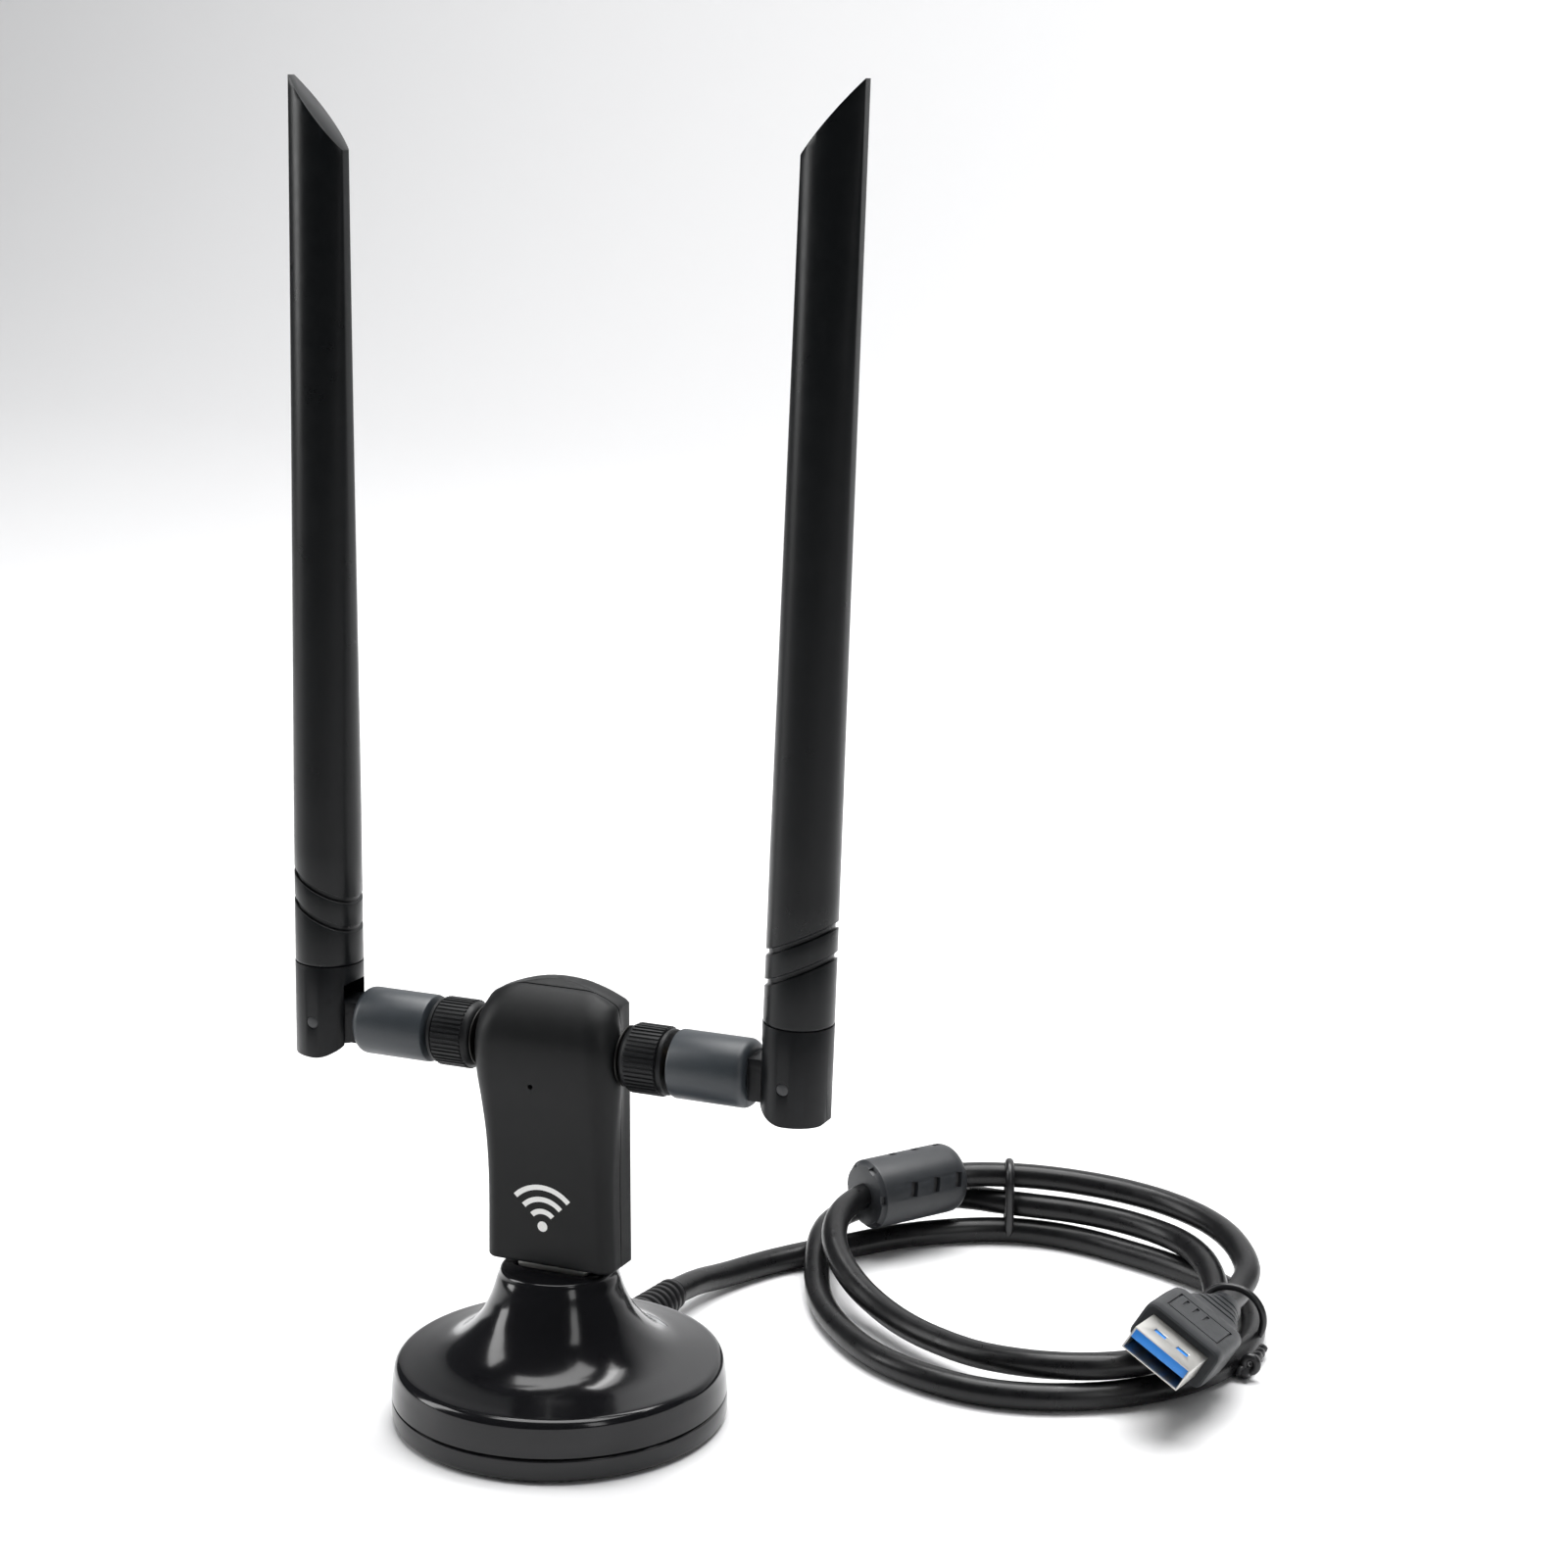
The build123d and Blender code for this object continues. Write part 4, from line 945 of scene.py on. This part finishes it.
def make_nut(side):
    outline = [(0.0, 14.4), (4.6, 14.4), (5.0, 14.5), (5.45, 14.85), (5.72, 15.3), (5.78, 15.75),
               (6.05, 15.85), (6.05, 21.45), (5.75, 21.5), (5.45, 21.55), (5.45, 21.8), (5.7, 21.9),
               (5.7, 22.4), (5.5, 22.6), (0.0, 22.6)]
    nut = shape(f"{side}_nut_knurled", lathe(outline, NUT_RIBS * 6, rib), along_arm(side), 30)
    mouth = shape("mouth", rod_mesh(4.37, 6.2, 48), along_arm(side) @ Matrix.Translation((0, 0, 17.5)))
    inner = shape("inner", rod_mesh(3.95, 1.6, 48), along_arm(side) @ Matrix.Translation((0, 0, 21.2)))
    bore = shape("bore", rod_mesh(2.45, 20, 48), along_arm(side) @ Matrix.Translation((0, 0, 20)))
    carve(nut, [mouth, inner, bore], sharp=30)
    return wear(nut, f"{side}_nut", "nut_plastic", FINISHES["nut_plastic"], f"{side}_nut")


def make_sleeve(side):
    outline = [(2.46, 23.6), (5.5, 23.6), (5.8, 23.75), (5.95, 24.1), (5.95, 36.2)]
    for step in range(1, 7):
        turn = math.pi / 2 * step / 6
        outline.append((4.35 + 1.6 * math.cos(turn), 36.2 + 1.6 * math.sin(turn)))
    outline += [(2.46, 37.8)]
    sleeve = shape(f"{side}_sleeve_turned", tube(outline, 96), along_arm(side), 30)
    return wear(sleeve, f"{side}_arm", "arm_plastic", FINISHES["arm_plastic"], f"{side}_arm_sleeve")


def radome_ring(height, inset=0.0, slant=0.0):
    """A ring of the radome: round below, a thin blade with narrow flat sides at the tip."""
    foot, bend, tip = 10.2, 40.2, 163.0
    share = min(max((height - bend) / (tip - bend), 0.0), 1.0)
    round_radius = 6.0 - 0.12 * min((height - foot) / (bend - foot), 1.0) - inset
    half_width, half_depth, edge = 5.2 - inset, 2.5 - inset, 1.0
    corner_turn = math.asin(1.0 / 6.0)
    sag = half_depth - edge
    bow = (half_width ** 2 + sag ** 2) / (2 * sag)

    def blade(turn):
        fold = (turn + corner_turn) % math.pi
        sign = 1.0 if (turn + corner_turn) % TAU < math.pi else -1.0
        if fold < 2 * corner_turn:
            return sign * half_width, sign * edge * (fold / corner_turn - 1)
        along = (fold - 2 * corner_turn) / (math.pi - 2 * corner_turn)
        x = half_width * math.cos(math.pi * along)
        y = edge + math.sqrt(bow ** 2 - x ** 2) - (bow - sag)
        return sign * x, sign * y

    def point(turn):
        bx, by = blade(turn)
        x = round_radius * math.cos(turn) * (1 - share) + bx * share
        y = round_radius * math.sin(turn) * (1 - share) + by * share
        return Vector((x, y, height + slant * x))
    return point


def make_radome(side):
    slope = 5.8 / 12.0
    rings = [radome_ring(10.2, 0.25), radome_ring(10.45, 0.04), radome_ring(10.8)]
    for height in (19.5, 24.7):
        for offset, inset in GROOVE:
            rings.append(radome_ring(height + offset, inset, slope))
    steps = 60
    rings.append(radome_ring(31.0, 0.0, slope * 0.4))
    for step in range(steps + 1):
        rings.append(radome_ring(34.0 + (163.2 - 34.0) * step / steps))
    mesh = skin(rings, 120)
    tilt = math.atan2(12.0, 10.4)
    cut = bmesh.ops.bisect_plane(mesh, geom=mesh.verts[:] + mesh.edges[:] + mesh.faces[:],
                                 plane_co=(0, 0, 157.0), plane_no=(-math.sin(tilt), 0, math.cos(tilt)),
                                 clear_outer=True)
    rim = [item for item in cut["geom_cut"] if isinstance(item, bmesh.types.BMEdge)]
    bmesh.ops.edgeloop_fill(mesh, edges=rim)
    piece = shape(f"{side}_radome_moulded", mesh, at_hinge(side), 38)
    soften(piece, 0.16, 2, 38)
    return wear(piece, f"{side}_antenna", "radome_plastic", FINISHES["radome_plastic"], f"{side}_radome")


def make_antenna(side):
    make_nut(side)
    make_sleeve(side)
    make_radome(side)
    for node, body, slot, rounding in (
            ("jack", "adapter", "jack_metal", 0.1), ("arm_knuckle", f"{side}_arm", "hinge_plastic", 0.3),
            ("hinge_base", f"{side}_antenna", "hinge_plastic", 0.22),
            ("hinge_pin", f"{side}_antenna", "pin_dark", 0.15)):
        name = f"{side}_{node}"
        piece = merged_copy(f"{name}_smooth", name, rounding)
        wear(piece, body, slot, FINISHES[slot], name)


for side in ("right", "left"):
    make_antenna(side)

for node, body in (("socket_shell", "cradle"), ("adapter_plug_shell", "adapter")):
    wear(merged_copy(f"{node}_steel", node, 0.08), body, "bright_steel", FINISHES["bright_steel"], node)


# ==== CAD nodes that stay: better materials =====================================
SLOT_OF = {row["node"]: row["material_slot"] for row in frame["record"]["subparts"]}
for name, node in frame["nodes"].items():
    node.data.materials.clear()
    node.data.materials.append(FINISHES[SLOT_OF[name]])


# ==== Stage and light ===========================================================
def paper():
    finish = Finish("paper")
    finish.feed("Base Color", (0.88, 0.88, 0.885, 1.0))
    finish.feed("Roughness", 0.6)
    finish.feed("Specular IOR Level", 0.2)
    return finish.material


def make_stage():
    """One sheet of pale paper: a floor that curves up into a backdrop."""
    front, back, bend, rise = -1.6, 1.3, 0.7, 2.2
    mesh = bmesh.new()
    bmesh.ops.create_grid(mesh, x_segments=2, y_segments=80, size=1.0)
    for vert in mesh.verts:
        along = front + (vert.co.y + 1) / 2 * (back - front + bend * math.pi / 2 + rise)
        turn = min(max(along - back, 0.0) / bend, math.pi / 2)
        upright = max(along - back - bend * math.pi / 2, 0.0)
        vert.co = Vector((vert.co.x * 2.6, min(along, back) + bend * math.sin(turn),
                          bend * (1 - math.cos(turn)) + upright))
    data = bpy.data.meshes.new("floor")
    mesh.to_mesh(data)
    mesh.free()
    for face in data.polygons:
        face.use_smooth = True
    data.materials.append(paper())
    floor = bpy.data.objects.new("floor", data)
    scene.collection.objects.link(floor)


def softbox(name, place, target, size, power):
    light = bpy.data.lights.new(name, "AREA")
    light.shape = "RECTANGLE"
    light.size, light.size_y = size
    light.energy = power
    lamp = bpy.data.objects.new(name, light)
    aim = (Vector(place) - Vector(target)).to_track_quat("Z", "Y").to_matrix().to_4x4()
    lamp.matrix_world = Matrix.Translation(place) @ aim
    scene.collection.objects.link(lamp)


def make_light():
    world = bpy.data.worlds.new("studio")
    world.use_nodes = True
    world.node_tree.nodes["Background"].inputs["Color"].default_value = (0.9, 0.95, 1.0, 1.0)
    world.node_tree.nodes["Background"].inputs["Strength"].default_value = 0.05
    scene.world = world
    softbox("top", (0.03, 0.12, 0.78), (0.03, 0.1, 0.0), (0.7, 0.6), 8.5)
    softbox("left", (-0.9, -0.3, 0.5), (0.0, 0.0, 0.1), (0.3, 0.8), 5.0)
    softbox("right", (0.8, -0.6, 0.6), (0.03, 0.0, 0.1), (0.2, 0.7), 1.6)
    softbox("backdrop", (0.0, 0.75, 2.0), (0.0, 2.0, 0.7), (2.4, 0.7), 45.0)


make_stage()
make_light()
